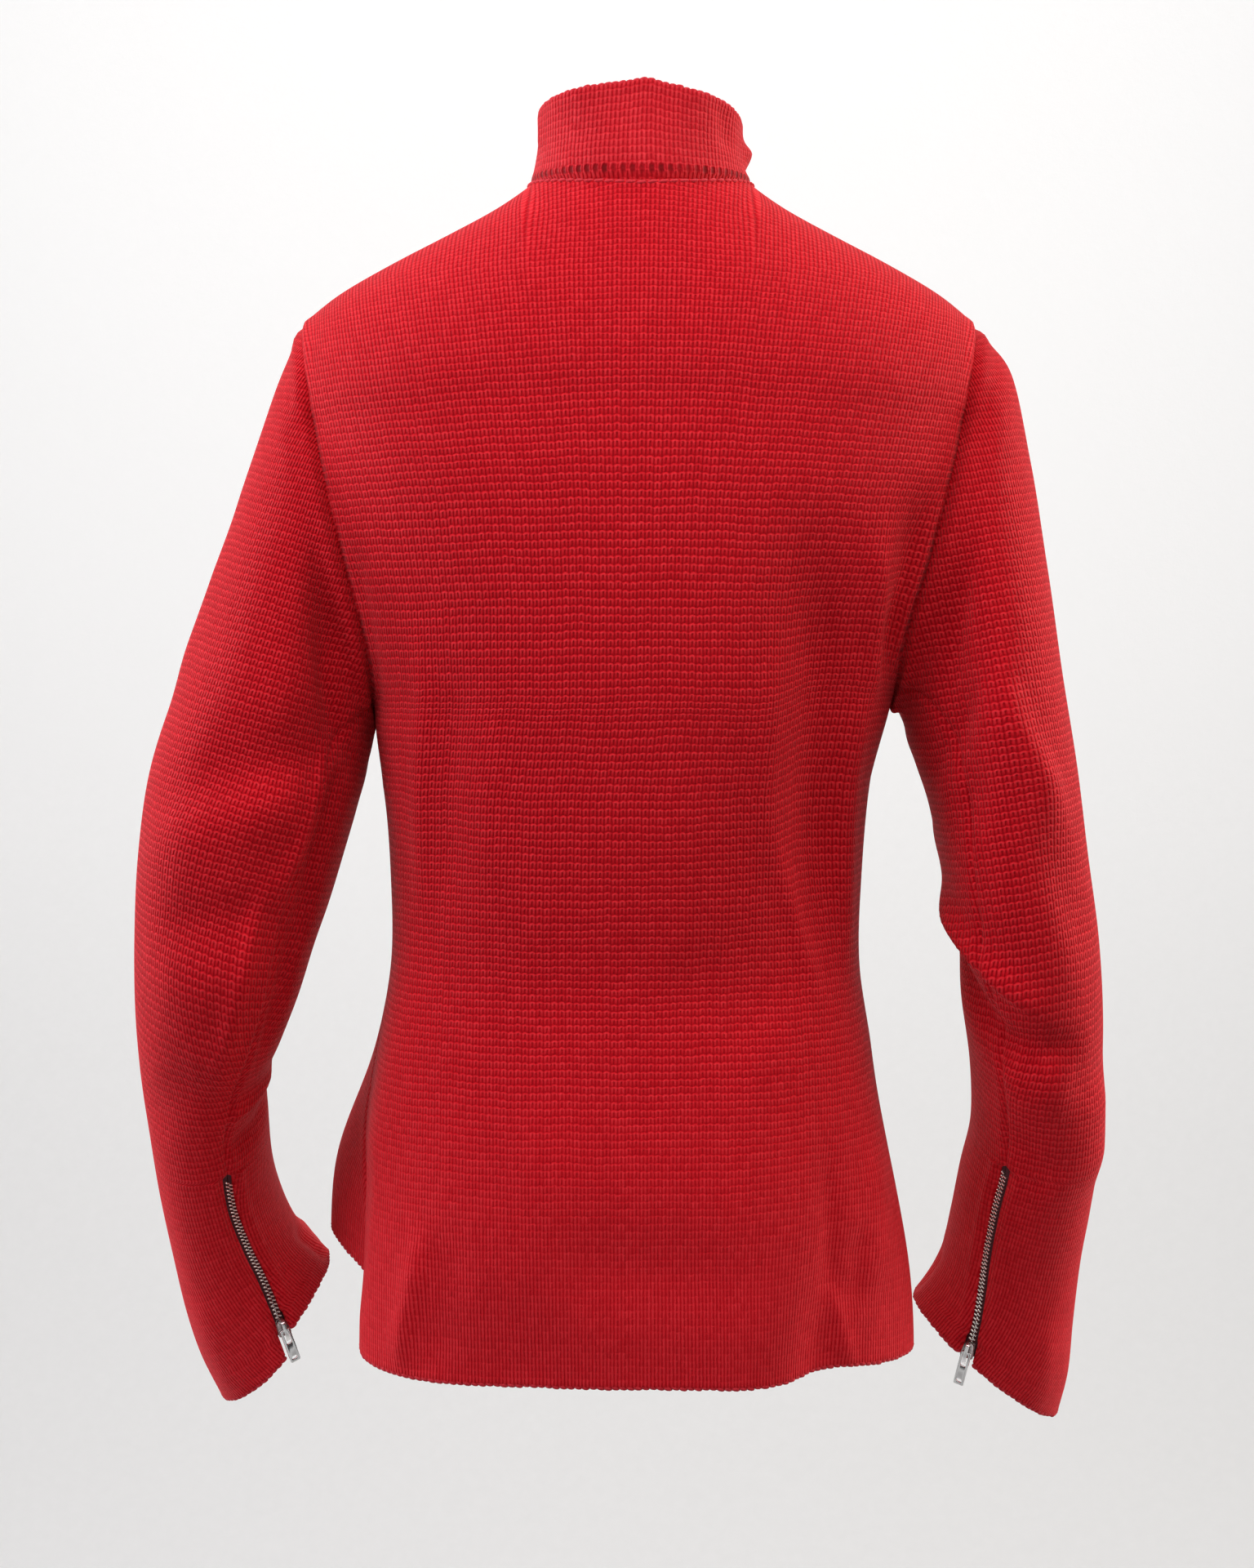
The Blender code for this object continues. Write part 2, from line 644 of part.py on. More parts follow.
def add_slider(side, place, collection, cutters, material):
    """The slider: two plates on a waist, and the bridge that the pull tab hangs on."""
    plate_low = SLIDER_TOP - SLIDER_PLATE
    foot_high = SLIDER_BOTTOM + SLIDER_PLATE
    body = both_sides(
        [
            (SLIDER_FOOT_WIDTH / 2, SLIDER_BOTTOM),
            (SLIDER_FOOT_WIDTH / 2, foot_high),
            (SLIDER_WAIST / 2, foot_high),
            (SLIDER_WAIST / 2, plate_low),
            (SLIDER_WIDTH / 2, plate_low),
            (SLIDER_WIDTH / 2, SLIDER_TOP),
        ]
    )
    data = prism("slider", body, SLIDER_LENGTH / 2, False)
    slider = add_object(f"slider_{side}", data, material, collection)
    slider.matrix_world = place
    foot = SLIDER_TOP - SLIDER_PLATE / 2
    roof = SLIDER_TOP + BRIDGE_ROOM
    outer, inner = BRIDGE_LENGTH / 2, BRIDGE_LENGTH / 2 - BRIDGE_BAR
    arch = [
        (inner, foot),
        (outer, foot),
        (outer, roof),
        (outer - BRIDGE_BAR, roof + BRIDGE_BAR),
    ]
    under = [(-inner, foot), (-inner, roof - BRIDGE_BAR / 2), (BRIDGE_BAR / 2 - inner, roof)]
    under += [(-a, b) for a, b in reversed(under)]
    outline = arch + [(-a, b) for a, b in reversed(arch)] + under[1:-1]
    bridge = bpy.data.objects.new(f"bridge_{side}", prism("bridge", outline, BRIDGE_WIDTH / 2, True))
    cutters.objects.link(bridge)
    bridge.matrix_world = place
    bridge.hide_render = True
    bridge.display_type = "WIRE"
    union = slider.modifiers.new("bridge", "BOOLEAN")
    union.operation = "UNION"
    union.object = bridge
    return slider


def rounded(curve_data, width, length, middle, rounding):
    """Adds a rectangle with rounded corners to a flat curve, as a closed run of straight steps."""
    points = []
    for quarter in range(4):
        sign_x, sign_y = ((1, 1), (-1, 1), (-1, -1), (1, -1))[quarter]
        for step in range(PULL_CORNER_STEPS + 1):
            angle = (quarter + step / PULL_CORNER_STEPS) * math.pi / 2
            x = sign_x * (width / 2 - rounding) + rounding * math.cos(angle)
            y = middle + sign_y * (length / 2 - rounding) + rounding * math.sin(angle)
            points.append((x * MM, y * MM, 0, 1))
    spline = curve_data.splines.new("POLY")
    spline.points.add(len(points) - 1)
    for point, place in zip(spline.points, points):
        point.co = place
    spline.use_cyclic_u = True


def pull_pivot(place):
    """The pull tab's matrix at rest: its origin on the end bar under the bridge, turned about it
    until it hangs straight down."""
    pivot = place @ Matrix.Translation((0, PULL_PIVOT_UP * MM, PULL_PIVOT_OUT * MM))
    lift = max(math.atan2(-place[2][2], place[2][1]), 0.0)
    return pivot @ Matrix.Rotation(-lift, 4, "X")


def add_pull(side, place, collection, material):
    """The pull tab: a flat bar with a window at the top, round the bridge, and a small slot."""
    data = bpy.data.curves.new("pull", "CURVE")
    data.dimensions = "2D"
    data.fill_mode = "BOTH"
    data.extrude = PULL_THICKNESS / 2 * MM
    top = PULL_END_BAR / 2
    rounded(data, PULL_WIDTH, PULL_LENGTH, top - PULL_LENGTH / 2, PULL_ROUNDING)
    window = top - PULL_END_BAR - PULL_WINDOW_LENGTH / 2
    rounded(data, PULL_WINDOW_WIDTH, PULL_WINDOW_LENGTH, window, PULL_ROUNDING)
    slot = top - PULL_LENGTH + PULL_SLOT_EDGE + PULL_SLOT_LENGTH / 2
    rounded(data, PULL_SLOT_WIDTH, PULL_SLOT_LENGTH, slot, PULL_SLOT_ROUNDING)
    shape = bpy.data.objects.new("pull_shape", data)
    bpy.context.scene.collection.objects.link(shape)
    evaluated = shape.evaluated_get(bpy.context.evaluated_depsgraph_get())
    mesh_data = bpy.data.meshes.new_from_object(evaluated)
    bpy.data.objects.remove(shape)
    mesh = bmesh.new()
    mesh.from_mesh(mesh_data)
    bmesh.ops.remove_doubles(mesh, verts=mesh.verts, dist=WELD * MM)
    mesh.to_mesh(mesh_data)
    mesh.free()
    pull = add_object(f"pull_{side}", mesh_data, material, collection)
    pull.matrix_world = pull_pivot(place)
    return pull


def new_material(name, color, roughness, metallic):
    """A plain finish."""
    material = bpy.data.materials.new(name)
    material.use_nodes = True
    shader = material.node_tree.nodes["Principled BSDF"]
    shader.inputs["Base Color"].default_value = color
    shader.inputs["Roughness"].default_value = roughness
    shader.inputs["Metallic"].default_value = metallic
    return material


def new_collection(name):
    """A collection in the scene."""
    collection = bpy.data.collections.new(name)
    bpy.context.scene.collection.children.link(collection)
    return collection


def cloth_panels():
    """Every piece of cloth, with the directions of its wall agreed at the seams."""
    back, front = torso_grid(False), torso_grid(True)
    panels = [
        Panel("back_panel", back, -1, WALL, ("high", "first", "last")),
        Panel("front_panel", front, 1, WALL, ("high", "first", "last")),
        Panel("collar", collar_grid(back, front), -1, COLLAR_WALL, ("low",), closed=True),
    ]
    for side, sign in SIDE.items():
        grid = sleeve_grid(back, front, side)
        panels.append(Panel(f"sleeve_{side}", grid, sign, WALL, ("low", "first", "last")))
    share_normals(panels)
    return {panel.name: panel for panel in panels}


def main():
    """Builds the garment's nodes in an empty scene."""
    for old in list(bpy.data.objects):
        bpy.data.objects.remove(old)
    collection, cutters = new_collection("sweater"), new_collection("cutters")
    knit = new_material("red_knit", RED, 0.9, 0.0)
    tape = new_material("zip_tape", TAPE_RED, 0.8, 0.0)
    steel = new_material("dark_steel", STEEL, 0.35, 1.0)
    chrome = new_material("bright_chrome", CHROME, 0.15, 1.0)
    panels = cloth_panels()
    lines = {side: ZipLine(panels[f"sleeve_{side}"]) for side in SIDE}
    for name, panel in panels.items():
        line = lines.get(name.removeprefix("sleeve_"))
        add_panel(panel, knit, collection, line.opening() if line else None)
    for side, line in lines.items():
        add_strip(f"teeth_{side}", line.chain(), steel, collection)
        add_strip(f"tape_{side}_a", line.tape([0, 1]), tape, collection)
        add_strip(f"tape_{side}_b", line.tape([-1, -2]), tape, collection)
        add_slider(side, line.matrix(), collection, cutters, steel)
        add_pull(side, line.matrix(), collection, chrome)


main()
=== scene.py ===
"""The looks of a thick knitted sweater with a stand collar and a metal zip in each cuff.

Blender 4.5. Sizes in the tables are millimetres and meshes are metres. The front faces -Y, the
wearer's left is +X and +Z is up, with the middle of the neck at the origin, as in the frame.

Each piece of cloth is a fine grid on the form of its solid. Every point of a grid also has a place
in the cloth itself, in wales across it and knitted rows up it, and the stitches follow that.
"""

import sys

import json
import logging
import math
from collections.abc import Callable, Iterator, Sequence
from contextlib import contextmanager
from dataclasses import dataclass, field
from enum import Enum
from typing import NamedTuple, Union

import bmesh
import bpy
import numpy as np
from mathutils import Matrix, Vector


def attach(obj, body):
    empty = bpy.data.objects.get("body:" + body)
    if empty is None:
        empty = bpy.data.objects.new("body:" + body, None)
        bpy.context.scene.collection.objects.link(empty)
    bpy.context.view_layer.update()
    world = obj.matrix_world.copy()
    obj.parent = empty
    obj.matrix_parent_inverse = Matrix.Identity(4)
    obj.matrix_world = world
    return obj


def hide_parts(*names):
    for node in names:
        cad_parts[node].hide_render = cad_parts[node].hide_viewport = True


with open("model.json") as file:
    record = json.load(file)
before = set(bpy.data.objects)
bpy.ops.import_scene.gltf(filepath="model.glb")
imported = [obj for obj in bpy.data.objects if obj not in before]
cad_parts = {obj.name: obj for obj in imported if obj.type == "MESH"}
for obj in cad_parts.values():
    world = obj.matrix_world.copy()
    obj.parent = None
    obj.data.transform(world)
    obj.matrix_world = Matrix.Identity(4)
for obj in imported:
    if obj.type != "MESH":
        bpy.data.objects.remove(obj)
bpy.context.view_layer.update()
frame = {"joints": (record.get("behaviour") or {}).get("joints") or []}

log = logging.getLogger("sweater")
Array = np.ndarray
Piece = bpy.types.Object
Material = bpy.types.Material
Tree = bpy.types.NodeTree
Node = bpy.types.Node
Socket = bpy.types.NodeSocket
Pair = tuple[float, float]
Triple = tuple[float, float, float]

MM = 0.001
WELD = 1e-7  # metres, within which two points are one
KEY_STEPS = 31 * math.pi  # in a millimetre, so that no round size is halfway between two


class Side(Enum):
    """The wearer's left or right."""

    LEFT = "left"
    RIGHT = "right"

    @property
    def sign(self) -> int:
        """1 on the left and -1 on the right, as X goes."""
        return 1 if self is Side.LEFT else -1


# ---------------- curves and grids


def curve(rows: Array, at: Array) -> Array:
    """Reads a smooth curve through the rows.

    Args:
        rows: The values to pass through, a row each.
        at: Fractional row numbers.

    Returns:
        The values at those places.
    """
    rows = np.asarray(rows, float)
    rows = np.concatenate([2 * rows[:1] - rows[1:2], rows, 2 * rows[-1:] - rows[-2:-1]])
    at = np.atleast_1d(np.asarray(at, float))
    first = np.clip(np.floor(at).astype(int), 0, len(rows) - 4)
    part = (at - first).reshape(-1, *[1] * (rows.ndim - 1))
    a, b, c, d = (rows[first + k] for k in range(4))
    return b + 0.5 * part * (c - a + part * (2 * a - 5 * b + 4 * c - d + part * (3 * (b - c) + d - a)))


def ease(x: Array) -> Array:
    """From 0 to 1 as x goes from 0 to 1, level at both ends."""
    x = np.clip(x, 0.0, 1.0)
    return x * x * (3 - 2 * x)


def bell(angle: Array, middle: float, half_width: float) -> Array:
    """1 at the middle angle and near 0 beyond the half width, round the full circle."""
    turn = (angle - middle + 180) % 360 - 180
    return np.exp(-((turn / half_width) ** 2))


def unit(vectors: Array) -> Array:
    """The vectors at length 1."""
    return vectors / np.maximum(np.linalg.norm(vectors, axis=-1, keepdims=True), 1e-12)


def steps_along(points: Array, axis: int, flat: bool = False) -> Array:
    """The distance from the first point of each line of a grid.

    Args:
        points: The grid.
        axis: 0 to measure up the columns, 1 to measure along the rows.
        flat: Whether height is left out.

    Returns:
        A distance for each point of the grid.
    """
    used = points[..., :2] if flat else points
    lengths = np.linalg.norm(np.diff(used, axis=axis), axis=-1)
    total = np.cumsum(lengths, axis=axis)
    start = np.zeros_like(np.take(total, [0], axis=axis))
    return np.concatenate([start, total], axis=axis)


def length_of(line: Array) -> Array:
    """The distance of each point of a line from its first point."""
    return steps_along(line[None], 1)[0]


def read_line(line: Array, length: Array, at: Array | float) -> Array:
    """Points on a line at these distances, where length holds the distance of each of its own points."""
    return np.stack([np.interp(at, length, line[:, k]) for k in range(line.shape[1])], axis=-1)


def along_line(line: Array, shares: Array) -> Array:
    """Points at these shares of a line's length."""
    length = length_of(line)
    return read_line(line, length, shares * length[-1])


def spread(low: float, high: float, step: float, marks: Sequence[float], near: Sequence[float]) -> Array:
    """Even places from low to high, with more of them round the marks.

    Args:
        low: The first place.
        high: The last place.
        step: The usual distance between places.
        marks: Places that are always in the result.
        near: Distances from each mark at which places are added.

    Returns:
        The places in order.
    """
    count = max(int(round((high - low) / step)), 1)
    even = np.linspace(low, high, count + 1)
    reach = max(near) + 0.45 * step
    keep = [p for p in even if all(abs(p - m) > reach for m in marks) or p in (low, high)]
    added = [m + way * d for m in marks for d in (0.0, *near) for way in (-1, 1)]
    every = sorted({round(p, 9) for p in (*keep, *added) if low - 1e-9 <= p <= high + 1e-9} | {low, high})
    return np.array([p for n, p in enumerate(every) if n == 0 or p - every[n - 1] > step * 0.02])


def grid_normals(grid: Array, outward: int) -> Array:
    """The outward direction at each point of a grid, from its own faces."""
    normals = np.zeros_like(grid)
    across, up = np.diff(grid, axis=1), np.diff(grid, axis=0)
    face = unit(np.cross(across[:-1], up[:, :-1]) + np.cross(across[1:], up[:, 1:]))
    for row, column in ((0, 0), (0, 1), (1, 0), (1, 1)):
        rows = slice(row, grid.shape[0] - 1 + row)
        columns = slice(column, grid.shape[1] - 1 + column)
        normals[rows, columns] += face
    return unit(normals) * outward


# ---------------- the body's form


class TrunkRow(NamedTuple):
    """A section below the armpits."""

    height: float
    half_width: float
    back: float
    front: float
    power: float


class ArmholeRow(NamedTuple):
    """A section from the armpits to the shoulder blades."""

    x: float
    z: float
    back_y: float
    back_mid_y: float
    back_mid_z: float
    front_y: float
    front_mid_y: float
    front_mid_z: float
    power: float


class Flute(NamedTuple):
    """A fold that runs up from the hem. Its angle is from the back's middle to the wearer's left."""

    angle: float
    rise: float
    half_width: float
    reach: float


class Lift(NamedTuple):
    """A stretch of hem that is lifted."""

    angle: float
    lift: float
    half_width: float


@dataclass
class BodyForm:
    """The form that the back, the front and the collar lie on, as the solids have it."""

    trunk: tuple[TrunkRow, ...] = (
        TrunkRow(-653, 150, 114, 110, 2.9),
        TrunkRow(-600, 150, 113, 107, 2.7),
        TrunkRow(-545, 147, 106, 102, 2.5),
        TrunkRow(-490, 141, 94, 97, 2.4),
        TrunkRow(-440, 134, 86, 97, 2.3),
        TrunkRow(-390, 135, 89, 105, 2.3),
        TrunkRow(-345, 139, 97, 116, 2.3),
    )
    armhole: tuple[ArmholeRow, ...] = (
        ArmholeRow(147, -306, 0, 103, -303, 0, 122, -303, 2.3),
        ArmholeRow(148, -286, 26, 105, -282, 26, 124, -282, 2.3),
        ArmholeRow(152, -256, 43, 106, -252, 41, 125, -254, 2.3),
        ArmholeRow(163, -212, 53, 106, -208, 47, 123, -214, 2.3),
        ArmholeRow(174, -168, 52, 104, -162, 42, 117, -174, 2.3),
        ArmholeRow(183, -130, 41, 100, -118, 32, 108, -138, 2.3),
    )
    shoulder: tuple[Triple, ...] = (
        (64, 2, 3), (83, 2, -10), (111, 1, -25), (142, 0, -41), (172, -3, -58), (195, -5, -76)
    )
    neck_back: float = 65
    neck_front: float = 62
    neck_front_drop: float = 58
    neck_share: float = 0.4  # of half a panel's width, the share that ends at the neck
    sway_heights: tuple[float, ...] = (-655, -450, -340, -284, -128, -60, 0)
    sway: tuple[float, ...] = (9, 9, 8, 3, 2, 1, 0)
    right_armpit_lift: float = 9
    armpit_height: float = -300
    armpit_reach: float = 62
    flutes: tuple[Flute, ...] = (
        Flute(107, 29, 13, 250),
        Flute(86, -11, 9, 130),
        Flute(70, 4, 10, 320),
        Flute(28, -3, 13, 120),
        Flute(-30, 4, 12, 130),
        Flute(-52, -9, 8, 110),
        Flute(-81, 14, 12, 160),
        Flute(-134, 10, 16, 190),
        Flute(-160, -5, 12, 120),
        Flute(172, 6, 13, 150),
        Flute(148, -7, 11, 140),
    )
    lifts: tuple[Lift, ...] = (Lift(107, 50, 23), Lift(-54, 4, 12), Lift(-140, 8, 22), Lift(172, 5, 24))
    lift_reach: float = 180

    @property
    def armpit_row(self) -> int:
        """The row number of the armpits."""
        return len(self.trunk)

    @property
    def blade_row(self) -> int:
        """The row number of the shoulder blades."""
        return len(self.trunk) + len(self.armhole) - 1

    def rows(self) -> Array:
        """One row per section from hem to shoulder blade, in ArmholeRow's columns."""
        trunk = [(width, z, 0, back, z, 0, front, z, power) for z, width, back, front, power in self.trunk]
        return np.array([*trunk, *self.armhole], float)

    def level_row(self, front: bool, across: Array, row: float) -> Array:
        """Points of a panel across one level below the shoulder blades.

        Args:
            front: Whether this is the front.
            across: Places from -1 at the wearer's right to 1 at the left.
            row: A fractional row number.

        Returns:
            A point for each place.
        """
        level = ArmholeRow(*curve(self.rows(), row)[0])
        x, z, power = level.x, level.z, level.power
        edge_y, depth, mid_z = level.back_y, level.back_mid_y, level.back_mid_z
        if front:
            edge_y, depth, mid_z = level.front_y, level.front_mid_y, level.front_mid_z
        edge_y = max(edge_y, 0.0)
        half = x / (1 - (edge_y / depth) ** power) ** (1 / power)
        turn = across * math.atan2(x, edge_y)
        sine, cosine = np.sin(turn), np.cos(turn)
        reach = np.abs(sine / half) ** power + np.abs(cosine / depth) ** power
        radius = reach ** (-1 / power)
        angle = 180 - np.degrees(turn) if front else np.degrees(turn)
        above_hem = z - self.trunk[0].height
        for fold in self.flutes:
            fade = ease(1 - above_hem / fold.reach)
            radius = radius + fold.rise * fade * bell(angle, fold.angle, fold.half_width)
        height = z + (mid_z - z) * (1 - across**2)
        for lift in self.lifts:
            fade = ease(1 - above_hem / self.lift_reach)
            height = height + lift.lift * fade * bell(angle, lift.angle, lift.half_width)
        depth_sign = -1 if front else 1
        return np.stack([radius * sine, depth_sign * radius * cosine, height], axis=-1)

    def neck_point(self, front: bool, turn: Array) -> Array:
        """The neck seam at these angles from the panel's middle."""
        sine, cosine = np.sin(turn), np.cos(turn)
        side_x, side_y, side_z = self.shoulder[0]
        depth = -self.neck_front if front else self.neck_back
        drop = self.neck_front_drop if front else 0
        height = side_z * np.abs(sine) - drop * cosine**2
        return np.stack([side_x * sine, side_y + (depth - side_y) * cosine, height], axis=-1)

    def top_edge(self, front: bool, across: Array) -> Array:
        """A panel's top edge: the neck seam in the middle and a shoulder seam on each side."""
        out = np.abs(across)
        neck = self.neck_point(front, np.clip(out / self.neck_share, 0, 1) * math.pi / 2)
        past_neck = np.clip((out - self.neck_share) / (1 - self.neck_share), 0, 1)
        shoulder = curve(np.array(self.shoulder), past_neck * (len(self.shoulder) - 1))
        edge = np.where(out[:, None] <= self.neck_share, neck, shoulder)
        edge[:, 0] *= np.sign(across)
        return edge

    def yoke_row(self, front: bool, across: Array, up: float) -> Array:
        """Points across a panel between the shoulder blades, where up is 0, and its top, at 1."""
        low = self.level_row(front, across, self.blade_row)
        high = self.top_edge(front, across)
        turn = up * math.pi / 2
        over = low + (high - low) * math.sin(turn)
        over[:, 1] = high[:, 1] + (low[:, 1] - high[:, 1]) * math.cos(turn)
        slope = low + (high - low) * np.array([up, up**1.8, up])
        round_share = ease(np.abs(across) / self.neck_share)[:, None]
        return slope + (over - slope) * round_share

    def settle(self, points: Array) -> Array:
        """Leans the body to one side and lifts the right armpit, as it hangs."""
        x, z = points[..., 0], points[..., 2]
        moved = points.copy()
        moved[..., 0] = x + np.interp(z, self.sway_heights, self.sway)
        rise = np.exp(-(((z - self.armpit_height) / self.armpit_reach) ** 2)) * ease((-x - 60) / 80)
        moved[..., 2] = z + self.right_armpit_lift * rise
        return moved


# ---------------- cloth


class Edge(Enum):
    """One edge of a grid."""

    LOW = "low"
    HIGH = "high"
    FIRST = "first"
    LAST = "last"

    @property
    def axis(self) -> int:
        """The axis of the grid that leads away from the edge."""
        return 0 if self in (Edge.LOW, Edge.HIGH) else 1

    def line(self, steps: int) -> tuple:
        """Index of the line of points that lies this many steps in from the edge."""
        at = steps if self in (Edge.LOW, Edge.FIRST) else -1 - steps
        return (at, slice(None)) if self.axis == 0 else (slice(None), at)

    @property
    def index(self) -> tuple:
        """Index of the edge's points."""
        return self.line(0)

    @property
    def inside(self) -> tuple:
        """Index of the points next to the edge's."""
        return self.line(1)


class SeamShape(NamedTuple):
    """How far the face dips at a seam, over what distance, and the ridge beside it."""

    depth: float
    width: float
    ridge: float = 0.0
    ridge_at: float = 4.0
    ridge_width: float = 2.0


SIDE_SEAM = SeamShape(1.5, 1.8, 0.3, 4.5)
SHOULDER_SEAM = SeamShape(1.2, 1.8, 0.2, 4.5)
BODY_ARMHOLE = SeamShape(2.0, 2.4, 0.5, 5.0)
SLEEVE_ARMHOLE = SeamShape(2.0, 2.6, 1.1, 6.5, 4.0)
SLEEVE_SEAM = SeamShape(1.3, 1.8, 0.25, 4.5)
ZIP_EDGE = SeamShape(1.0, 2.4, 0.8, 5.0, 2.6)
BODY_NECK = SeamShape(1.9, 1.6, 0.9, 3.4, 1.5)
COLLAR_NECK = SeamShape(2.2, 2.2, 0.3, 5.0)


class Seam(NamedTuple):
    """A shape along an edge. Its share is one number, or one for each point of the edge."""

    edge: Edge
    shape: SeamShape
    share: Array | float = 1.0


class Crease(NamedTuple):
    """A soft ridge from one place in the cloth to another, or a trough if its rise is below 0.

    Places are millimetres across the cloth and up it. A lean above 0 makes the side to the right
    of the line steeper, and one below 0 the left side. A bow moves its middle to the right.
    """

    start: Pair
    end: Pair
    width: float
    rise: float
    lean: float = 0.0
    bow: float = 0.0

    FADE = 0.35  # the share of its length over which it fades out at each end

    def rise_at(self, across: Array, up: Array) -> Array:
        """How far the crease moves the cloth out at these places."""
        start, end = np.array(self.start, float), np.array(self.end, float)
        length = np.linalg.norm(end - start)
        along = (end - start) / length
        offset = np.stack([across, up], axis=-1) - start
        share = offset @ along / length
        aside = offset @ np.array([along[1], -along[0]])
        aside = aside - self.bow * 4 * share * (1 - share)
        width = self.width * np.where(aside * self.lean > 0, 1 - abs(self.lean), 1.0)
        fade = ease(share / self.FADE) * ease((1 - share) / self.FADE)
        return self.rise * fade * np.exp(-((aside / width) ** 2))


@dataclass
class Cloth:
    """A piece of cloth as a wall on a grid, which knows where each point lies in the knitting.

    Attributes:
        name: The piece's name.
        points: The outer points in millimetres, a row of them for each step up the cloth.
        across: Millimetres across the cloth, for each point.
        up: Millimetres up the cloth, for each point.
        wales: Wales across the cloth, for each point.
        rows: Knitted rows up the cloth, for each point.
        outward: 1 or -1, which turns the grid's own normals out.
        wall: The cloth's thickness.
        closed: Whether the last column lies on the first.
        loop: The length of each row if the cloth goes round, for creases over its seam.
        seams: The shapes along its sewn edges.
        free: How round each edge is, as one number or one for each point of the edge.
    """

    name: str
    points: Array
    across: Array
    up: Array
    wales: Array
    rows: Array
    outward: int
    wall: float = 3.0
    closed: bool = False
    loop: Array | None = None
    seams: list[Seam] = field(default_factory=list)
    free: dict[Edge, Array | float] = field(default_factory=dict)
    normals: Array = field(init=False)

    RIM_STEPS = 4
    RIM_PROUD = 0.85  # a round rim's reach, as a share of half the wall
    BAKE_OUTER = (0.345, 0.995)
    BAKE_INNER = (0.005, 0.29)
    BAKE_RIMS = (0.295, 0.340)

    def __post_init__(self) -> None:
        """Works out the normals."""
        self.find_normals()

    def find_normals(self) -> None:
        """Sets the normals from the points as they are now."""
        self.normals = grid_normals(self.points, self.outward)
        if self.closed:
            ends = unit(self.normals[:, 0] + self.normals[:, -1])
            self.normals[:, 0] = self.normals[:, -1] = ends

    def from_edge(self, edge: Edge) -> Array:
        """The distance of each point from an edge, along the grid."""
        distance = steps_along(self.points, edge.axis)
        if edge in (Edge.LOW, Edge.FIRST):
            return distance
        return np.take(distance, [-1], axis=edge.axis) - distance

    def crease(self, creases: Sequence[Crease], hold: Array | float = 1.0) -> None:
        """Moves the points out or in along the creases.

        Args:
            creases: The creases.
            hold: The share of each crease that is kept at each point.
        """
        rise = np.zeros(self.points.shape[:2])
        turns = (0,) if self.loop is None else (-1, 0, 1)
        length = 0.0 if self.loop is None else self.loop[:, None]
        for fold in creases:
            rise += sum(fold.rise_at(self.across + turn * length, self.up) for turn in turns)
        self.points = self.points + self.normals * (rise * hold)[..., None]
        self.find_normals()

    def skins(self) -> tuple[Array, Array]:
        """The outer face, dipped at its seams, and the inner face."""
        dip = np.zeros(self.points.shape[:2])
        for seam in self.seams:
            distance, shape = self.from_edge(seam.edge), seam.shape
            share = np.expand_dims(np.broadcast_to(seam.share, distance[seam.edge.index].shape), seam.edge.axis)
            groove = -shape.depth * np.exp(-((distance / shape.width) ** 2))
            ridge = shape.ridge * np.exp(-(((distance - shape.ridge_at) / shape.ridge_width) ** 2))
            dip += (groove + ridge) * share
        return self.points + self.normals * dip[..., None], self.points - self.normals * self.wall

    def rim(self, edge: Edge, outer: Array, inner: Array) -> Array:
        """Points from the outer to the inner face past an edge, round where it is free.

        Args:
            edge: The edge.
            outer: The outer face's points.
            inner: The inner face's points.

        Returns:
            Lines of points along the edge, the first on the outer face and the last on the inner.
        """
        a, b, normal = outer[edge.index], inner[edge.index], self.normals[edge.index]
        away = a - outer[edge.inside]
        away = unit(away - normal * np.sum(away * normal, -1, keepdims=True))
        proud = np.broadcast_to(self.free.get(edge, 0.0), a.shape[:1])[:, None]
        proud = proud * self.wall / 2 * self.RIM_PROUD
        turns = [math.pi * step / self.RIM_STEPS for step in range(self.RIM_STEPS + 1)]
        middle, half = (a + b) / 2, (a - b) / 2
        return np.stack([middle + half * math.cos(t) + away * math.sin(t) * proud for t in turns])

    def build(self) -> Piece:
        """Makes the cloth's mesh, a closed wall with a knitting map and a map for baking."""
        outer, inner = self.skins()
        count, width = outer.shape[:2]
        x, y = np.meshgrid(np.linspace(0.004, 0.996, width), np.linspace(0, 1, count))
        knit = np.stack([self.wales, self.rows], axis=-1)
        sheets = [(outer, knit, np.stack([x, self.span(y, self.BAKE_OUTER)], axis=-1))]
        sheets.append((inner, knit, np.stack([x, self.span(y, self.BAKE_INNER)], axis=-1)))
        edges = [Edge.LOW, Edge.HIGH] if self.closed else list(Edge)
        rims = {edge: self.rim(edge, outer, inner) for edge in edges}
        band = (self.BAKE_RIMS[1] - self.BAKE_RIMS[0]) / len(edges)
        for number, (edge, lines) in enumerate(rims.items()):
            line_knit = knit[edge.index]
            past = (line_knit - knit[edge.inside]) * 0.25
            steps = np.arange(len(lines))[:, None, None]
            low = self.BAKE_RIMS[0] + band * (number + 0.15)
            x, y = np.meshgrid(np.linspace(0.004, 0.98, lines.shape[1]), np.linspace(0, 1, len(lines)))
            bake = np.stack([x, low + y * band * 0.7], axis=-1)
            sheets.append((lines, line_knit + past * steps, bake))
        if not self.closed:
            sheets += self.caps(rims, knit)
        return wall_object(self.name, sheets)

    @staticmethod
    def span(share: Array, between: Pair) -> Array:
        """Places at these shares of the way between two numbers."""
        return between[0] + share * (between[1] - between[0])

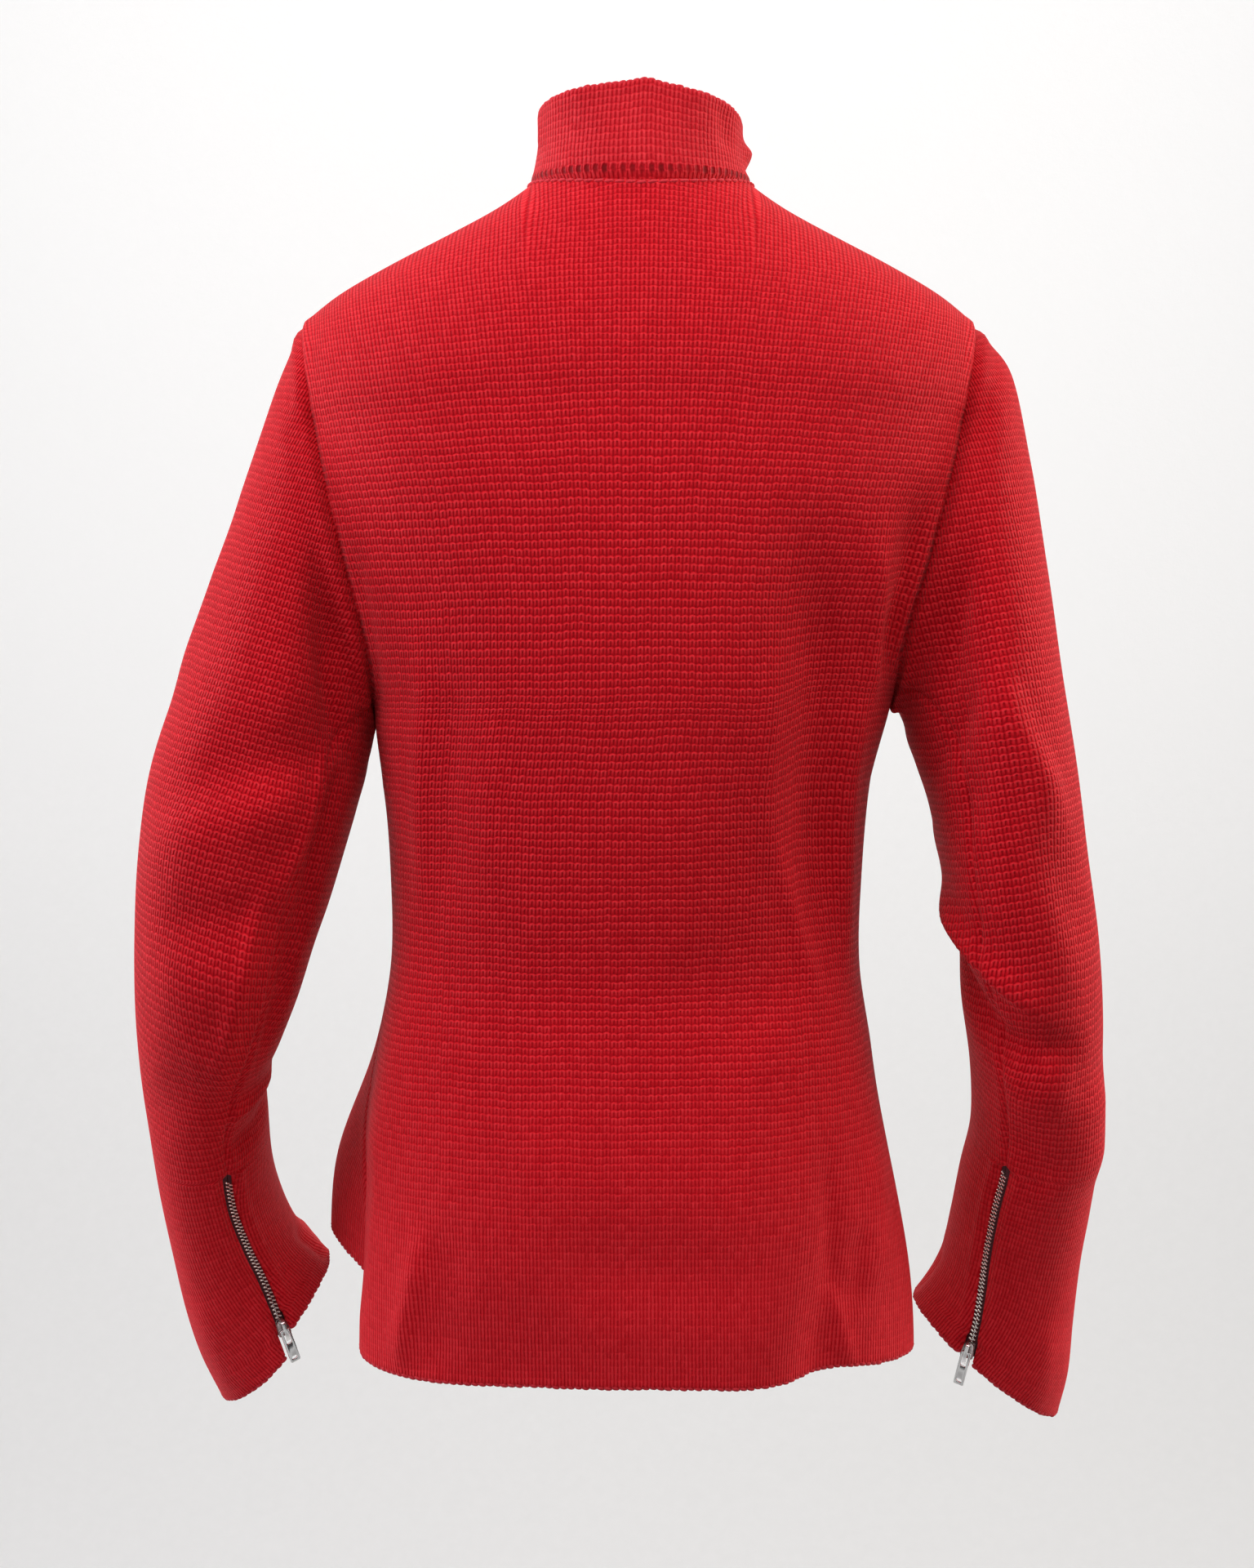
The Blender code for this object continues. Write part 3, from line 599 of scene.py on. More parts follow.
    def caps(self, rims: dict[Edge, Array], knit: Array) -> list[tuple]:
        """The little gores that close the wall where two rims meet at a corner."""
        caps = []
        for row, level in ((0, Edge.LOW), (-1, Edge.HIGH)):
            for column, upright in ((0, Edge.FIRST), (-1, Edge.LAST)):
                gore = np.stack([rims[level][:, column], rims[upright][:, row]])
                x, y = np.meshgrid(np.linspace(0.984, 0.996, gore.shape[1]), np.linspace(0.30, 0.33, 2))
                place = np.broadcast_to(knit[row, column], (*gore.shape[:2], 2))
                caps.append((gore, place, np.stack([x, y], axis=-1)))
        return caps


def into_scene(name: str, data: bpy.types.ID) -> Piece:
    """A new object in the scene, with this data."""
    piece = bpy.data.objects.new(name, data)
    bpy.context.scene.collection.objects.link(piece)
    return piece


def wall_object(name: str, sheets: Sequence[tuple[Array, Array, Array]]) -> Piece:
    """Joins grids of points along their shared borders into one closed object.

    Args:
        name: The object's name.
        sheets: For each grid its points in millimetres, its knitting map and its baking map.

    Returns:
        The object, with UV maps named knit and OFBake.
    """
    points, faces, knits, bakes, start = [], [], [], [], 0
    for grid, knit, bake in sheets:
        count, width = grid.shape[:2]
        index = start + np.arange(count * width).reshape(count, width)
        corners = (index[:-1, :-1], index[:-1, 1:], index[1:, 1:], index[1:, :-1])
        faces.append(np.stack(corners, axis=-1).reshape(-1, 4))
        points.append(grid.reshape(-1, 3))
        knits.append(knit.reshape(-1, 2))
        bakes.append(bake.reshape(-1, 2))
        start += count * width
    corner = np.concatenate(faces)
    data = bpy.data.meshes.new(name)
    data.from_pydata((np.concatenate(points) * MM).tolist(), [], corner.tolist())
    for layer, places in (("knit", knits), ("OFBake", bakes)):
        uv = data.uv_layers.new(name=layer)
        uv.uv.foreach_set("vector", np.concatenate(places)[corner.ravel()].astype(np.float32).ravel())
    mesh = bmesh.new()
    mesh.from_mesh(data)
    bmesh.ops.remove_doubles(mesh, verts=mesh.verts, dist=WELD)
    bmesh.ops.recalc_face_normals(mesh, faces=mesh.faces)
    if mesh.calc_volume(signed=True) < 0:
        bmesh.ops.reverse_faces(mesh, faces=mesh.faces)
    for face in mesh.faces:
        face.smooth = True
    mesh.to_mesh(data)
    mesh.free()
    return into_scene(name, data)


def share_normals(cloths: Sequence[Cloth], same_way: float = 0.8) -> None:
    """Gives each point on a seam the mean of the directions that meet there.

    Args:
        cloths: The pieces that are sewn together.
        same_way: The cosine between directions that count as one.
    """

    def key(point: Array) -> tuple[int, ...]:
        """A point as a dictionary key."""
        return tuple(np.round(point * KEY_STEPS).astype(int))

    met: dict[tuple[int, ...], list[Array]] = {}
    edges = [(cloth, edge) for cloth in cloths for edge in dict.fromkeys(s.edge for s in cloth.seams)]
    for cloth, edge in edges:
        for point, normal in zip(cloth.points[edge.index], cloth.normals[edge.index]):
            ways = met.setdefault(key(point), [])
            like = [way for way in ways if np.dot(unit(way), normal) > same_way]
            if like:
                like[0] += normal
            else:
                ways.append(normal.copy())
    for cloth, edge in edges:
        shared = [sum(unit(way) for way in met[key(point)]) for point in cloth.points[edge.index]]
        cloth.normals[edge.index] = unit(np.array(shared))


# ---------------- the body and the collar


@dataclass
class Torso:
    """The back and the front panel."""

    form: BodyForm
    column_step: float = 0.0135
    edge_columns: tuple[float, ...] = (0.0036, 0.009, 0.017, 0.026)
    trunk_step: float = 0.068
    armhole_step: float = 0.095
    yoke_step: float = 0.031
    top_rows: tuple[float, ...] = (0.008, 0.018, 0.032, 0.05)
    sleeve_seam_row: float = 7 + 5 / 7
    soft_reach: float = 24.0
    wale_heights: tuple[float, ...] = (-650, -400, -235, -180, -50)
    wale_pitch: tuple[float, ...] = (3.95, 3.95, 3.97, 4.19, 5.2)
    row_heights: tuple[float, ...] = (-650, -400, -234, -182, -103, -50, 0)
    row_pitch: tuple[float, ...] = (3.7, 4.2, 4.45, 4.42, 4.03, 3.56, 3.46)
    back_creases: tuple[Crease, ...] = ()
    front_creases: tuple[Crease, ...] = ()
    cloths: dict[str, Cloth] = field(init=False)
    levels: Array = field(init=False)
    columns: Array = field(init=False)

    SEAM_HOLD = 14.0  # creases fade out over this distance from the sewn edges

    def __post_init__(self) -> None:
        """Lays out both panels."""
        form = self.form
        share = form.neck_share
        self.columns = spread(-1, 1, self.column_step, (-1, -share, share, 1), self.edge_columns)
        low, high = form.armpit_row, form.blade_row
        trunk = spread(0, low, self.trunk_step, (0, low), (0.02,))
        armhole = spread(low, high, self.armhole_step, (low, self.sleeve_seam_row), (0.04,))
        self.levels = np.concatenate([trunk, armhole[1:]])
        self.cloths = {name: self.lay_out(name, name == "front") for name in ("back", "front")}

    def lay_out(self, name: str, front: bool) -> Cloth:
        """One panel's cloth."""
        form, columns = self.form, self.columns
        rows = [form.level_row(front, columns, level) for level in self.levels]
        ups = spread(0, 1, self.yoke_step, (1,), self.top_rows)[1:]
        rows += [form.yoke_row(front, columns, up) for up in ups]
        flat = np.array(rows)
        blade = len(self.levels) - 1
        points = self.soften(form.settle(flat), blade)
        across = self.across(flat, blade)
        steps = np.diff(steps_along(points, 0), axis=0)
        steps[:blade] = steps[:blade].mean(axis=1, keepdims=True)
        height = (points[1:, :, 2] + points[:-1, :, 2]) / 2
        height[:blade] = height[:blade].mean(axis=1, keepdims=True)
        pitch = np.interp(height, self.row_heights, self.row_pitch)
        start = np.zeros((1, len(columns)))
        up = np.concatenate([start, np.cumsum(steps, axis=0)])
        knitted = np.concatenate([start, np.cumsum(steps / pitch, axis=0)])
        wales = across / np.interp(points[..., 2], self.wale_heights, self.wale_pitch)
        above = np.concatenate([self.levels, np.full(len(ups), self.levels[-1])]) >= form.armpit_row
        neck = np.abs(columns) <= form.neck_share
        cloth = Cloth(f"{name}_panel_knit", points, across, up, wales, knitted, 1 if front else -1)
        sewn = [(Edge.HIGH, BODY_NECK, neck), (Edge.HIGH, SHOULDER_SEAM, ~neck)]
        for edge in (Edge.LAST, Edge.FIRST):
            sewn = [(edge, SIDE_SEAM, ~above), (edge, BODY_ARMHOLE, above), *sewn]
        cloth.seams = [Seam(edge, shape, on.astype(float)) for edge, shape, on in sewn]
        cloth.free[Edge.LOW] = 1.0
        return cloth

    def soften(self, points: Array, blade: int) -> Array:
        """Eases the fold that the neck's corner would send down the panel from its top edge."""
        around, above = steps_along(points, 1), steps_along(points, 0)
        soft = points.copy()
        for row in range(blade + 1, len(points) - 1):
            at = around[row]
            reach = np.minimum(0.6 * (above[-1] - above[row]), 0.4 * np.minimum(at, at[-1] - at))
            reach = np.minimum(reach, self.soft_reach) * ease((row - blade) / 8) + 0.05
            share = np.exp(-(((at[:, None] - at) / reach[:, None]) ** 2)) * np.gradient(at)
            soft[row] = share @ points[row] / share.sum(axis=1, keepdims=True)
        return soft

    def across(self, points: Array, blade: int) -> Array:
        """Distances round each row from its middle. Above the shoulder blades a point has the
        distance of the point below it on the blades' row, so that the wales run straight up."""
        distance = steps_along(points, 1, flat=True)
        middle = len(self.columns) // 2
        distance = distance - distance[:, [middle]]
        x, along = points[blade, :, 0], distance[blade]
        above = points[blade + 1 :, :, 0]
        past = np.abs(above) - x[-1]
        kept = np.interp(above, x, along)
        distance[blade + 1 :] = kept + np.sign(above) * np.maximum(past, 0)
        return distance

    def hold(self, cloth: Cloth) -> Array:
        """The share of a crease that is kept at each point: none at the sewn edges."""
        share = np.ones(cloth.points.shape[:2])
        for edge in (Edge.FIRST, Edge.LAST, Edge.HIGH):
            share *= ease(cloth.from_edge(edge) / self.SEAM_HOLD)
        return share

    def crease(self) -> None:
        """Folds both panels."""
        for name, creases in (("back", self.back_creases), ("front", self.front_creases)):
            cloth = self.cloths[name]
            cloth.crease(creases, self.hold(cloth))

    def armhole(self, side: Side) -> Array:
        """The points of an armhole from the sleeve seam up the back, down the front and round."""
        edge = -1 if side is Side.LEFT else 0
        armpit = int(np.argmin(np.abs(self.levels - self.form.armpit_row)))
        seam = int(np.argmin(np.abs(self.levels - self.sleeve_seam_row)))
        back, front = (self.cloths[name].points[:, edge] for name in ("back", "front"))
        return np.concatenate([back[seam:], front[armpit:-1][::-1], back[armpit + 1 : seam + 1]])

    def neck(self) -> Array:
        """The closed neck edge: the back from the right to the left, and then the front."""
        inside = np.abs(self.columns) <= self.form.neck_share + 1e-9
        back, front = (self.cloths[name].points[-1, inside] for name in ("back", "front"))
        return np.concatenate([back, front[::-1][1:]])


@dataclass
class Collar:
    """The stand collar."""

    torso: Torso
    half_width: float = 58.5
    back: float = 52
    front: float = 66
    height: float = 54.5
    side_height: float = 43
    swell: float = -1.6
    power: float = 2.9  # of the top's superellipse
    lifts: tuple[Lift, ...] = (Lift(-3, 2.2, 8), Lift(-85, -7, 52))
    wall: float = 4.0
    row_step: float = 0.05
    wales: int = 82
    row_pitch: float = 3.7
    rows_below: float = 80
    creases: tuple[Crease, ...] = ()
    cloth: Cloth = field(init=False)

    def __post_init__(self) -> None:
        """Lays out the collar from the neck edge up."""
        seam = self.torso.neck()
        inside = np.abs(self.torso.columns) <= self.torso.form.neck_share + 1e-9
        quarter = self.torso.columns[inside] / self.torso.form.neck_share * math.pi / 2
        turn = np.concatenate([quarter, quarter[1:] + math.pi])
        sine, cosine = np.sin(turn), np.cos(turn)
        ahead = cosine < 0
        depth = np.where(ahead, self.front, self.back)
        rise = np.where(ahead, -self.side_height, self.height - self.side_height)
        square = (np.abs(sine) ** self.power + np.abs(cosine) ** self.power) ** (-1 / self.power)
        height = self.side_height + rise * cosine**2
        for lift in self.lifts:
            height = height + lift.lift * bell(np.degrees(turn), lift.angle, lift.half_width)
        top = np.stack([self.half_width * sine * square, depth * cosine * square, height], axis=-1)
        swell = np.stack([sine, cosine, 0 * sine], axis=-1) * self.swell
        ups = spread(0, 1, self.row_step, (0,), (0.015, 0.035, 0.06))
        points = np.array([seam + (top - seam) * up + swell * 4 * up * (1 - up) for up in ups])
        share = steps_along(points, 1)
        total = share[:, [-1]]
        share = share / total
        up = steps_along(points, 0)
        up = np.broadcast_to(up.mean(axis=1, keepdims=True), up.shape)
        self.cloth = Cloth(
            "collar_knit", points, (share - 0.25) * total.mean(), up,
            share * self.wales, up / self.row_pitch + self.rows_below, -1, self.wall,
            closed=True, loop=np.full(len(points), total.mean()),
            seams=[Seam(Edge.LOW, COLLAR_NECK)], free={Edge.HIGH: 1.0},
        )

    def crease(self) -> None:
        """Bends the collar."""
        self.cloth.crease(self.creases, ease(self.cloth.up / 14.0))


# ---------------- the sleeves


class Ring(NamedTuple):
    """A ring down a sleeve: the outer and the inner point seen from behind, its middle in depth,
    half its depth, how much lower its back is than its middle, and the angle of the sleeve's seam
    from the outer point round the back, in degrees."""

    outer_x: float
    outer_z: float
    inner_x: float
    inner_z: float
    y: float
    half_depth: float
    drop: float
    seam: float

    @property
    def outer(self) -> Array:
        """The outer point."""
        return np.array([self.outer_x, self.y, self.outer_z], float)

    def loop(self, steps: int = 241) -> Array:
        """Points round the ring from its seam, up the back and over to the front."""
        inner = np.array([self.inner_x, self.y, self.inner_z], float)
        middle, to_outer = (self.outer + inner) / 2, (self.outer - inner) / 2
        to_back = np.array([0, self.half_depth, -self.drop], float)
        turn = math.radians(self.seam) - np.linspace(0, 2 * math.pi, steps)[:, None]
        return middle + to_outer * np.cos(turn) + to_back * np.sin(turn)

    def at(self, shares: Array) -> Array:
        """Points at these shares of the ring's length round from the seam."""
        return along_line(self.loop(), shares)

    def outer_share(self) -> float:
        """The share of the ring's length from its seam to its outer point."""
        loop = self.loop()
        length = length_of(loop)
        return float(length[np.argmin(np.linalg.norm(loop - self.outer, axis=1))] / length[-1])


RINGS = {
    Side.LEFT: (
        Ring(209, -112, 155, -319, 2, 57, 0, 146),
        Ring(227, -166, 158, -334, 4, 60, 0, 138),
        Ring(244, -222, 163, -353, 7, 62, 2, 133),
        Ring(263, -277, 170, -378, 10, 61, 2, 132),
        Ring(279, -327, 178, -405, 12, 59, 3, 134),
        Ring(286, -374, 187, -431, 12, 57, 6, 136),
        Ring(289, -422, 196, -459, 8, 55, 10, 136),
        Ring(290, -464, 207, -486, 0, 52, 14, 133),
        Ring(289, -500, 217, -509, -10, 48, 15, 126),
        Ring(286, -538, 218, -536, -22, 45, 15, 119),
        Ring(282, -577, 217, -566, -33, 43, 14, 118),
        Ring(276, -616, 212, -590, -43, 42, 13, 121),
        Ring(270, -650, 204, -609, -51, 42, 12, 122),
        Ring(262, -679, 195, -620, -57, 43, 11, 117),
        Ring(251, -704, 187, -629, -62, 44, 11, 111),
    ),
    Side.RIGHT: (
        Ring(-212, -103, -150, -302, 2, 57, 0, 146),
        Ring(-223, -155, -153, -314, 4, 60, 0, 138),
        Ring(-232, -215, -158, -329, 7, 62, 2, 133),
        Ring(-240, -275, -165, -351, 10, 61, 2, 132),
        Ring(-248, -327, -170, -377, 12, 59, 3, 133),
        Ring(-254, -375, -174, -402, 12, 57, 6, 134),
        Ring(-261, -423, -180, -431, 8, 55, 10, 134),
        Ring(-265, -468, -185, -466, 0, 52, 14, 132),
        Ring(-266, -510, -191, -503, -10, 48, 15, 128),
        Ring(-267, -550, -193, -540, -22, 45, 15, 127),
        Ring(-264, -586, -188, -570, -33, 43, 14, 127),
        Ring(-260, -620, -184, -598, -43, 42, 12, 126),
        Ring(-257, -658, -180, -620, -51, 42, 10, 123),
        Ring(-255, -691, -173, -636, -57, 43, 8, 118),
        Ring(-250, -716, -164, -650, -62, 44, 7, 113),
    ),
}


@dataclass
class Sleeve:
    """One sleeve, with the slot for its zip.

    Across the cloth is measured from its outer edge, to the back as it is above 0, and up it from
    the cuff's hem.
    """

    side: Side
    torso: Torso
    zip_top: float  # where the slot ends, in rings
    creases: tuple[Crease, ...] = ()
    row_step: float = 0.085
    slot_end: float = 0.07
    slot: float = 4.2
    slider_slot: float = 5.4
    slider_length: float = 11.5  # from the hem to past the slider
    wale_pitch: float = 3.9
    row_pitch: float = 4.0
    slider_fade: float = 4.0
    zip_fade: float = 0.8  # in rings, over which the creases stop short of the zip
    hem_drop: float = 0.0  # how much longer the back is beside the zip
    drop_fade: Pair = (55, 80)  # and how far up the cloth and round it that goes
    upper_rings: tuple[int, int] = (1, 6)
    turn_rings: Pair = (5, 9)
    cloth: Cloth = field(init=False)
    at: Array = field(init=False)
    closed_points: Array = field(init=False)
    closed_normals: Array = field(init=False)

    ARMHOLE_HOLD = 16.0
    ZIP_HOLD = 20.0

    def __post_init__(self) -> None:
        """Lays out the sleeve, with its slot still closed."""
        rings = RINGS[self.side]
        armhole = self.torso.armhole(self.side)
        length = length_of(armhole)
        shares = length / length[-1]
        grid = np.array([armhole] + [ring.at(shares) for ring in rings])
        top, last = self.zip_top, float(len(rings))
        marks = (0.0, top - self.slot_end, top, last)
        self.at = spread(0, last, self.row_step, marks, (0.02,))
        points = curve(grid, self.at)
        outer_shares = [rings[0].outer_share() - 0.02] + [ring.outer_share() for ring in rings]
        outer = curve(np.array(outer_shares), self.at)[:, None]
        around = steps_along(points, 1)
        loop = around[:, -1]
        across = outer * loop[:, None] - around
        middle = points[:, :-1].mean(axis=1)
        down = length_of(middle)
        up = np.broadcast_to((down[-1] - down)[:, None], across.shape)
        wales, rows = self.knitting(points, across, up, middle)
        zipped = ease((self.at - top + self.slot_end) / self.slot_end)
        cloth = Cloth(
            f"sleeve_{self.side.value}_knit", points, across, up, wales, rows, self.side.sign,
            loop=loop, seams=[Seam(Edge.LOW, SLEEVE_ARMHOLE)],
            free={Edge.HIGH: 1.0, Edge.FIRST: zipped, Edge.LAST: zipped},
        )
        for edge in (Edge.FIRST, Edge.LAST):
            cloth.seams.append(Seam(edge, SLEEVE_SEAM, 1 - zipped))
            cloth.seams.append(Seam(edge, ZIP_EDGE, zipped))
        self.cloth = cloth

    def knitting(self, points: Array, across: Array, up: Array, middle: Array) -> tuple[Array, Array]:
        """Where the points lie in the knitting.

        The rows are square to the upper arm as far as the elbow, and follow the rings below it.

        Args:
            points: The sleeve's points.
            across: Millimetres round the sleeve from its outer edge.
            up: Millimetres up the sleeve.
            middle: The middle of each ring.

        Returns:
            Wales and rows, for each point.
        """
        low, high = (int(np.argmin(np.abs(self.at - ring))) for ring in self.upper_rings)
        axis = unit(middle[high] - middle[low])
        offset = points - middle[high]
        along = offset @ axis
        to_back = np.array([0.0, 1.0, 0.0])
        to_outer = np.cross(to_back, axis) * self.side.sign
        to_outer = to_outer * np.sign(to_outer[0] * self.side.sign)
        turn = np.unwrap(np.arctan2(offset @ to_back, offset @ to_outer), axis=1)
        girth = steps_along(points, 1)[high, -1]
        round_arm = turn * girth / (2 * math.pi)
        turned = ease((self.at - self.turn_rings[0]) / (self.turn_rings[1] - self.turn_rings[0]))[:, None]
        loop = steps_along(points, 1)
        narrowest = np.minimum.accumulate(loop[:, -1])[:, None]
        past = ease((loop / loop[:, [-1]] - 0.5) / 0.35)
        across = across + (loop[:, [-1]] - narrowest) * (past - 0.5)
        upper = -along + up[high, 0]
        rows = upper + (up - upper) * turned
        return (round_arm + (across - round_arm) * turned) / self.wale_pitch, rows / self.row_pitch

    def crease(self) -> None:
        """Folds the sleeve, but not at the armhole or beside the zip."""
        cloth = self.cloth
        hold = ease(cloth.from_edge(Edge.LOW) / self.ARMHOLE_HOLD)
        beside = np.minimum(cloth.from_edge(Edge.FIRST), cloth.from_edge(Edge.LAST))
        by_zip = ease((self.at - self.zip_top + self.zip_fade) / self.zip_fade)[:, None]
        hold = hold * (1 - by_zip * (1 - ease(beside / self.ZIP_HOLD)))
        cloth.crease(self.creases, hold)

    def open_slot(self) -> None:
        """Moves the cloth back from the zip on both sides, and keeps the closed grid."""
        cloth = self.cloth
        self.closed_points, self.closed_normals = cloth.points, cloth.normals
        from_hem = cloth.up[:, 0]
        slot = self.slot * ease((self.at - self.zip_top + self.slot_end) / self.slot_end)
        by_slider = ease((self.slider_length + self.slider_fade - from_hem) / self.slider_fade)
        slot = slot + (self.slider_slot - self.slot) * by_slider
        around = steps_along(cloth.points, 1)
        opened = []
        for line, length, half in zip(cloth.points, around, slot):
            share = half / length[-1]
            opened.append(along_line(line, share + length / length[-1] * (1 - 2 * share)))
        moved = slot > 0
        points = np.where(moved[:, None, None], np.array(opened), cloth.points)
        down = unit(points[-1] - points[-8])
        rise, reach = self.drop_fade
        drop = self.hem_drop * ease((rise - from_hem) / rise)[:, None] * ease((reach - around) / reach)
        cloth.points = points + down * drop[..., None]
        cloth.find_normals()


# ---------------- the workbench


Test = Callable[[Vector, Vector], bool]


class Bench:
    """Models hard pieces by hand. On the bench a unit is a millimetre, until a piece is set down."""

    @staticmethod
    def only(piece: Piece) -> None:
        """Makes a piece the only one that is selected."""
        bpy.ops.object.select_all(action="DESELECT")
        piece.select_set(True)
        bpy.context.view_layer.objects.active = piece

    @staticmethod
    def box(name: str, size: Triple, at: Triple) -> Piece:
        """A box of this size with its middle at a place."""
        bpy.ops.object.select_all(action="DESELECT")
        bpy.ops.mesh.primitive_cube_add(size=1, location=at, scale=size)
        bpy.ops.object.transform_apply(location=True, rotation=True, scale=True)
        piece = bpy.context.object
        piece.name = piece.data.name = name
        return piece

    @staticmethod
    def ball(name: str, size: Triple) -> Piece:
        """A coarse ball of this size, lying along Y."""
        bpy.ops.object.select_all(action="DESELECT")
        turn = (math.pi / 2, 0, 0)
        bpy.ops.mesh.primitive_uv_sphere_add(segments=8, ring_count=6, radius=0.5, rotation=turn)
        bpy.ops.object.transform_apply(rotation=True)
        bpy.context.object.scale = size
        bpy.ops.object.transform_apply(scale=True)
        piece = bpy.context.object
        piece.name = piece.data.name = name
        bpy.ops.object.shade_smooth()
        return piece

    @classmethod
    @contextmanager
    def edit(cls, piece: Piece, test: Test, edges: bool = False) -> Iterator[None]:
        """Opens a piece in edit mode, with some of its faces or edges selected, and closes it.

        Args:
            piece: The piece.
            test: Says from its middle, and a face's normal or an edge's direction, what is selected.
            edges: Whether edges are selected, and not faces.
        """
        cls.only(piece)
        bpy.context.tool_settings.mesh_select_mode = (False, edges, not edges)
        data = piece.data
        for group in (data.vertices, data.edges, data.polygons):
            group.foreach_set("select", [False] * len(group))
        for face in () if edges else data.polygons:
            face.select = test(face.center, face.normal)
        for edge in data.edges if edges else ():
            a, b = (data.vertices[n].co for n in edge.vertices)
            edge.select = test((a + b) / 2, (b - a).normalized())
        bpy.ops.object.mode_set(mode="EDIT")
        yield
        bpy.ops.object.mode_set(mode="OBJECT")

    @staticmethod
    def extrude(x: float, y: float, z: float) -> None:
        """Extrudes the selected faces by this much."""
        bpy.ops.mesh.extrude_region_move(TRANSFORM_OT_translate={"value": (x, y, z)})

    @classmethod
    def round_edges(
        cls, piece: Piece, width: float, segments: int, axis: int = 2, test: Test | None = None
    ) -> None:
        """Rounds the edges of a piece that run along an axis.

        Args:
            piece: The piece.
            width: The bevel's offset.
            segments: The bevel's steps.
            axis: 0, 1 or 2.
            test: Says which of these edges are meant, if not all.
        """

        def meant(middle: Vector, way: Vector) -> bool:
            """Whether an edge runs along the axis and passes the test."""
            return abs(way[axis]) > 0.9 and (test is None or test(middle, way))

        with cls.edit(piece, meant, edges=True):
            bpy.ops.mesh.bevel(offset=width, segments=segments, affect="EDGES")

    @classmethod
    def apply(cls, piece: Piece, kind: str, **settings: object) -> None:
        """Adds a modifier with these settings and applies it."""
        cls.only(piece)
        modifier = piece.modifiers.new(kind.lower(), kind)
        for name, value in settings.items():
            setattr(modifier, name, value)
        bpy.ops.object.modifier_apply(modifier=modifier.name)

    @classmethod
    def bevel(cls, piece: Piece, width: float, segments: int = 2, angle: float = 40) -> None:
        """Rounds a piece's sharp edges."""
        cls.apply(
            piece, "BEVEL", width=width, segments=segments, limit_method="ANGLE",
            angle_limit=math.radians(angle), miter_outer="MITER_ARC",
        )
        cls.smooth(piece)

    @classmethod
    def smooth(cls, piece: Piece, angle: float = 40) -> None:
        """Shades a piece smooth except over sharp edges."""
        cls.only(piece)
        bpy.ops.object.shade_smooth_by_angle(angle=math.radians(angle))

    @classmethod
    def combine(cls, piece: Piece, other: Piece, operation: str) -> None:
        """Cuts another piece out of one, or fuses it on, and takes the other away."""
        cls.apply(piece, "BOOLEAN", operation=operation, object=other, solver="EXACT")
        bpy.data.objects.remove(other)

    @staticmethod
    def drop_maps(data: bpy.types.Mesh) -> None:
        """Takes away the primitives' own maps, which no finish reads."""
        while data.uv_layers:
            data.uv_layers.remove(data.uv_layers[0])

    @classmethod
    def set_down(cls, piece: Piece, place: Matrix) -> None:
        """Puts a bench piece at its place, whose sizes are metres, with its object at the origin."""
        cls.drop_maps(piece.data)
        piece.data.transform(place @ Matrix.Scale(MM, 4))
        piece.data.update()

    @classmethod
    def lay(cls, model: Piece, places: Sequence[Matrix], name: str) -> Piece:
        """Copies a bench piece to each place, joins the copies and takes the model away."""
        cls.drop_maps(model.data)
        mesh = bmesh.new()
        for place in places:
            copy = model.data.copy()
            copy.transform(place @ Matrix.Scale(MM, 4))
            mesh.from_mesh(copy)
            bpy.data.meshes.remove(copy)
        data = bpy.data.meshes.new(name)
        mesh.to_mesh(data)
        mesh.free()
        bpy.data.objects.remove(model)
        return into_scene(name, data)


def axes(place: Array, across: Array, along: Array, out: Array) -> Matrix:
    """A matrix with these axes at a place in millimetres. The rest is in metres."""
    turn = Matrix(np.stack([across, along, out], axis=1).tolist()).to_4x4()
    return Matrix.Translation(Vector(place) * MM) @ turn


# ---------------- the zips


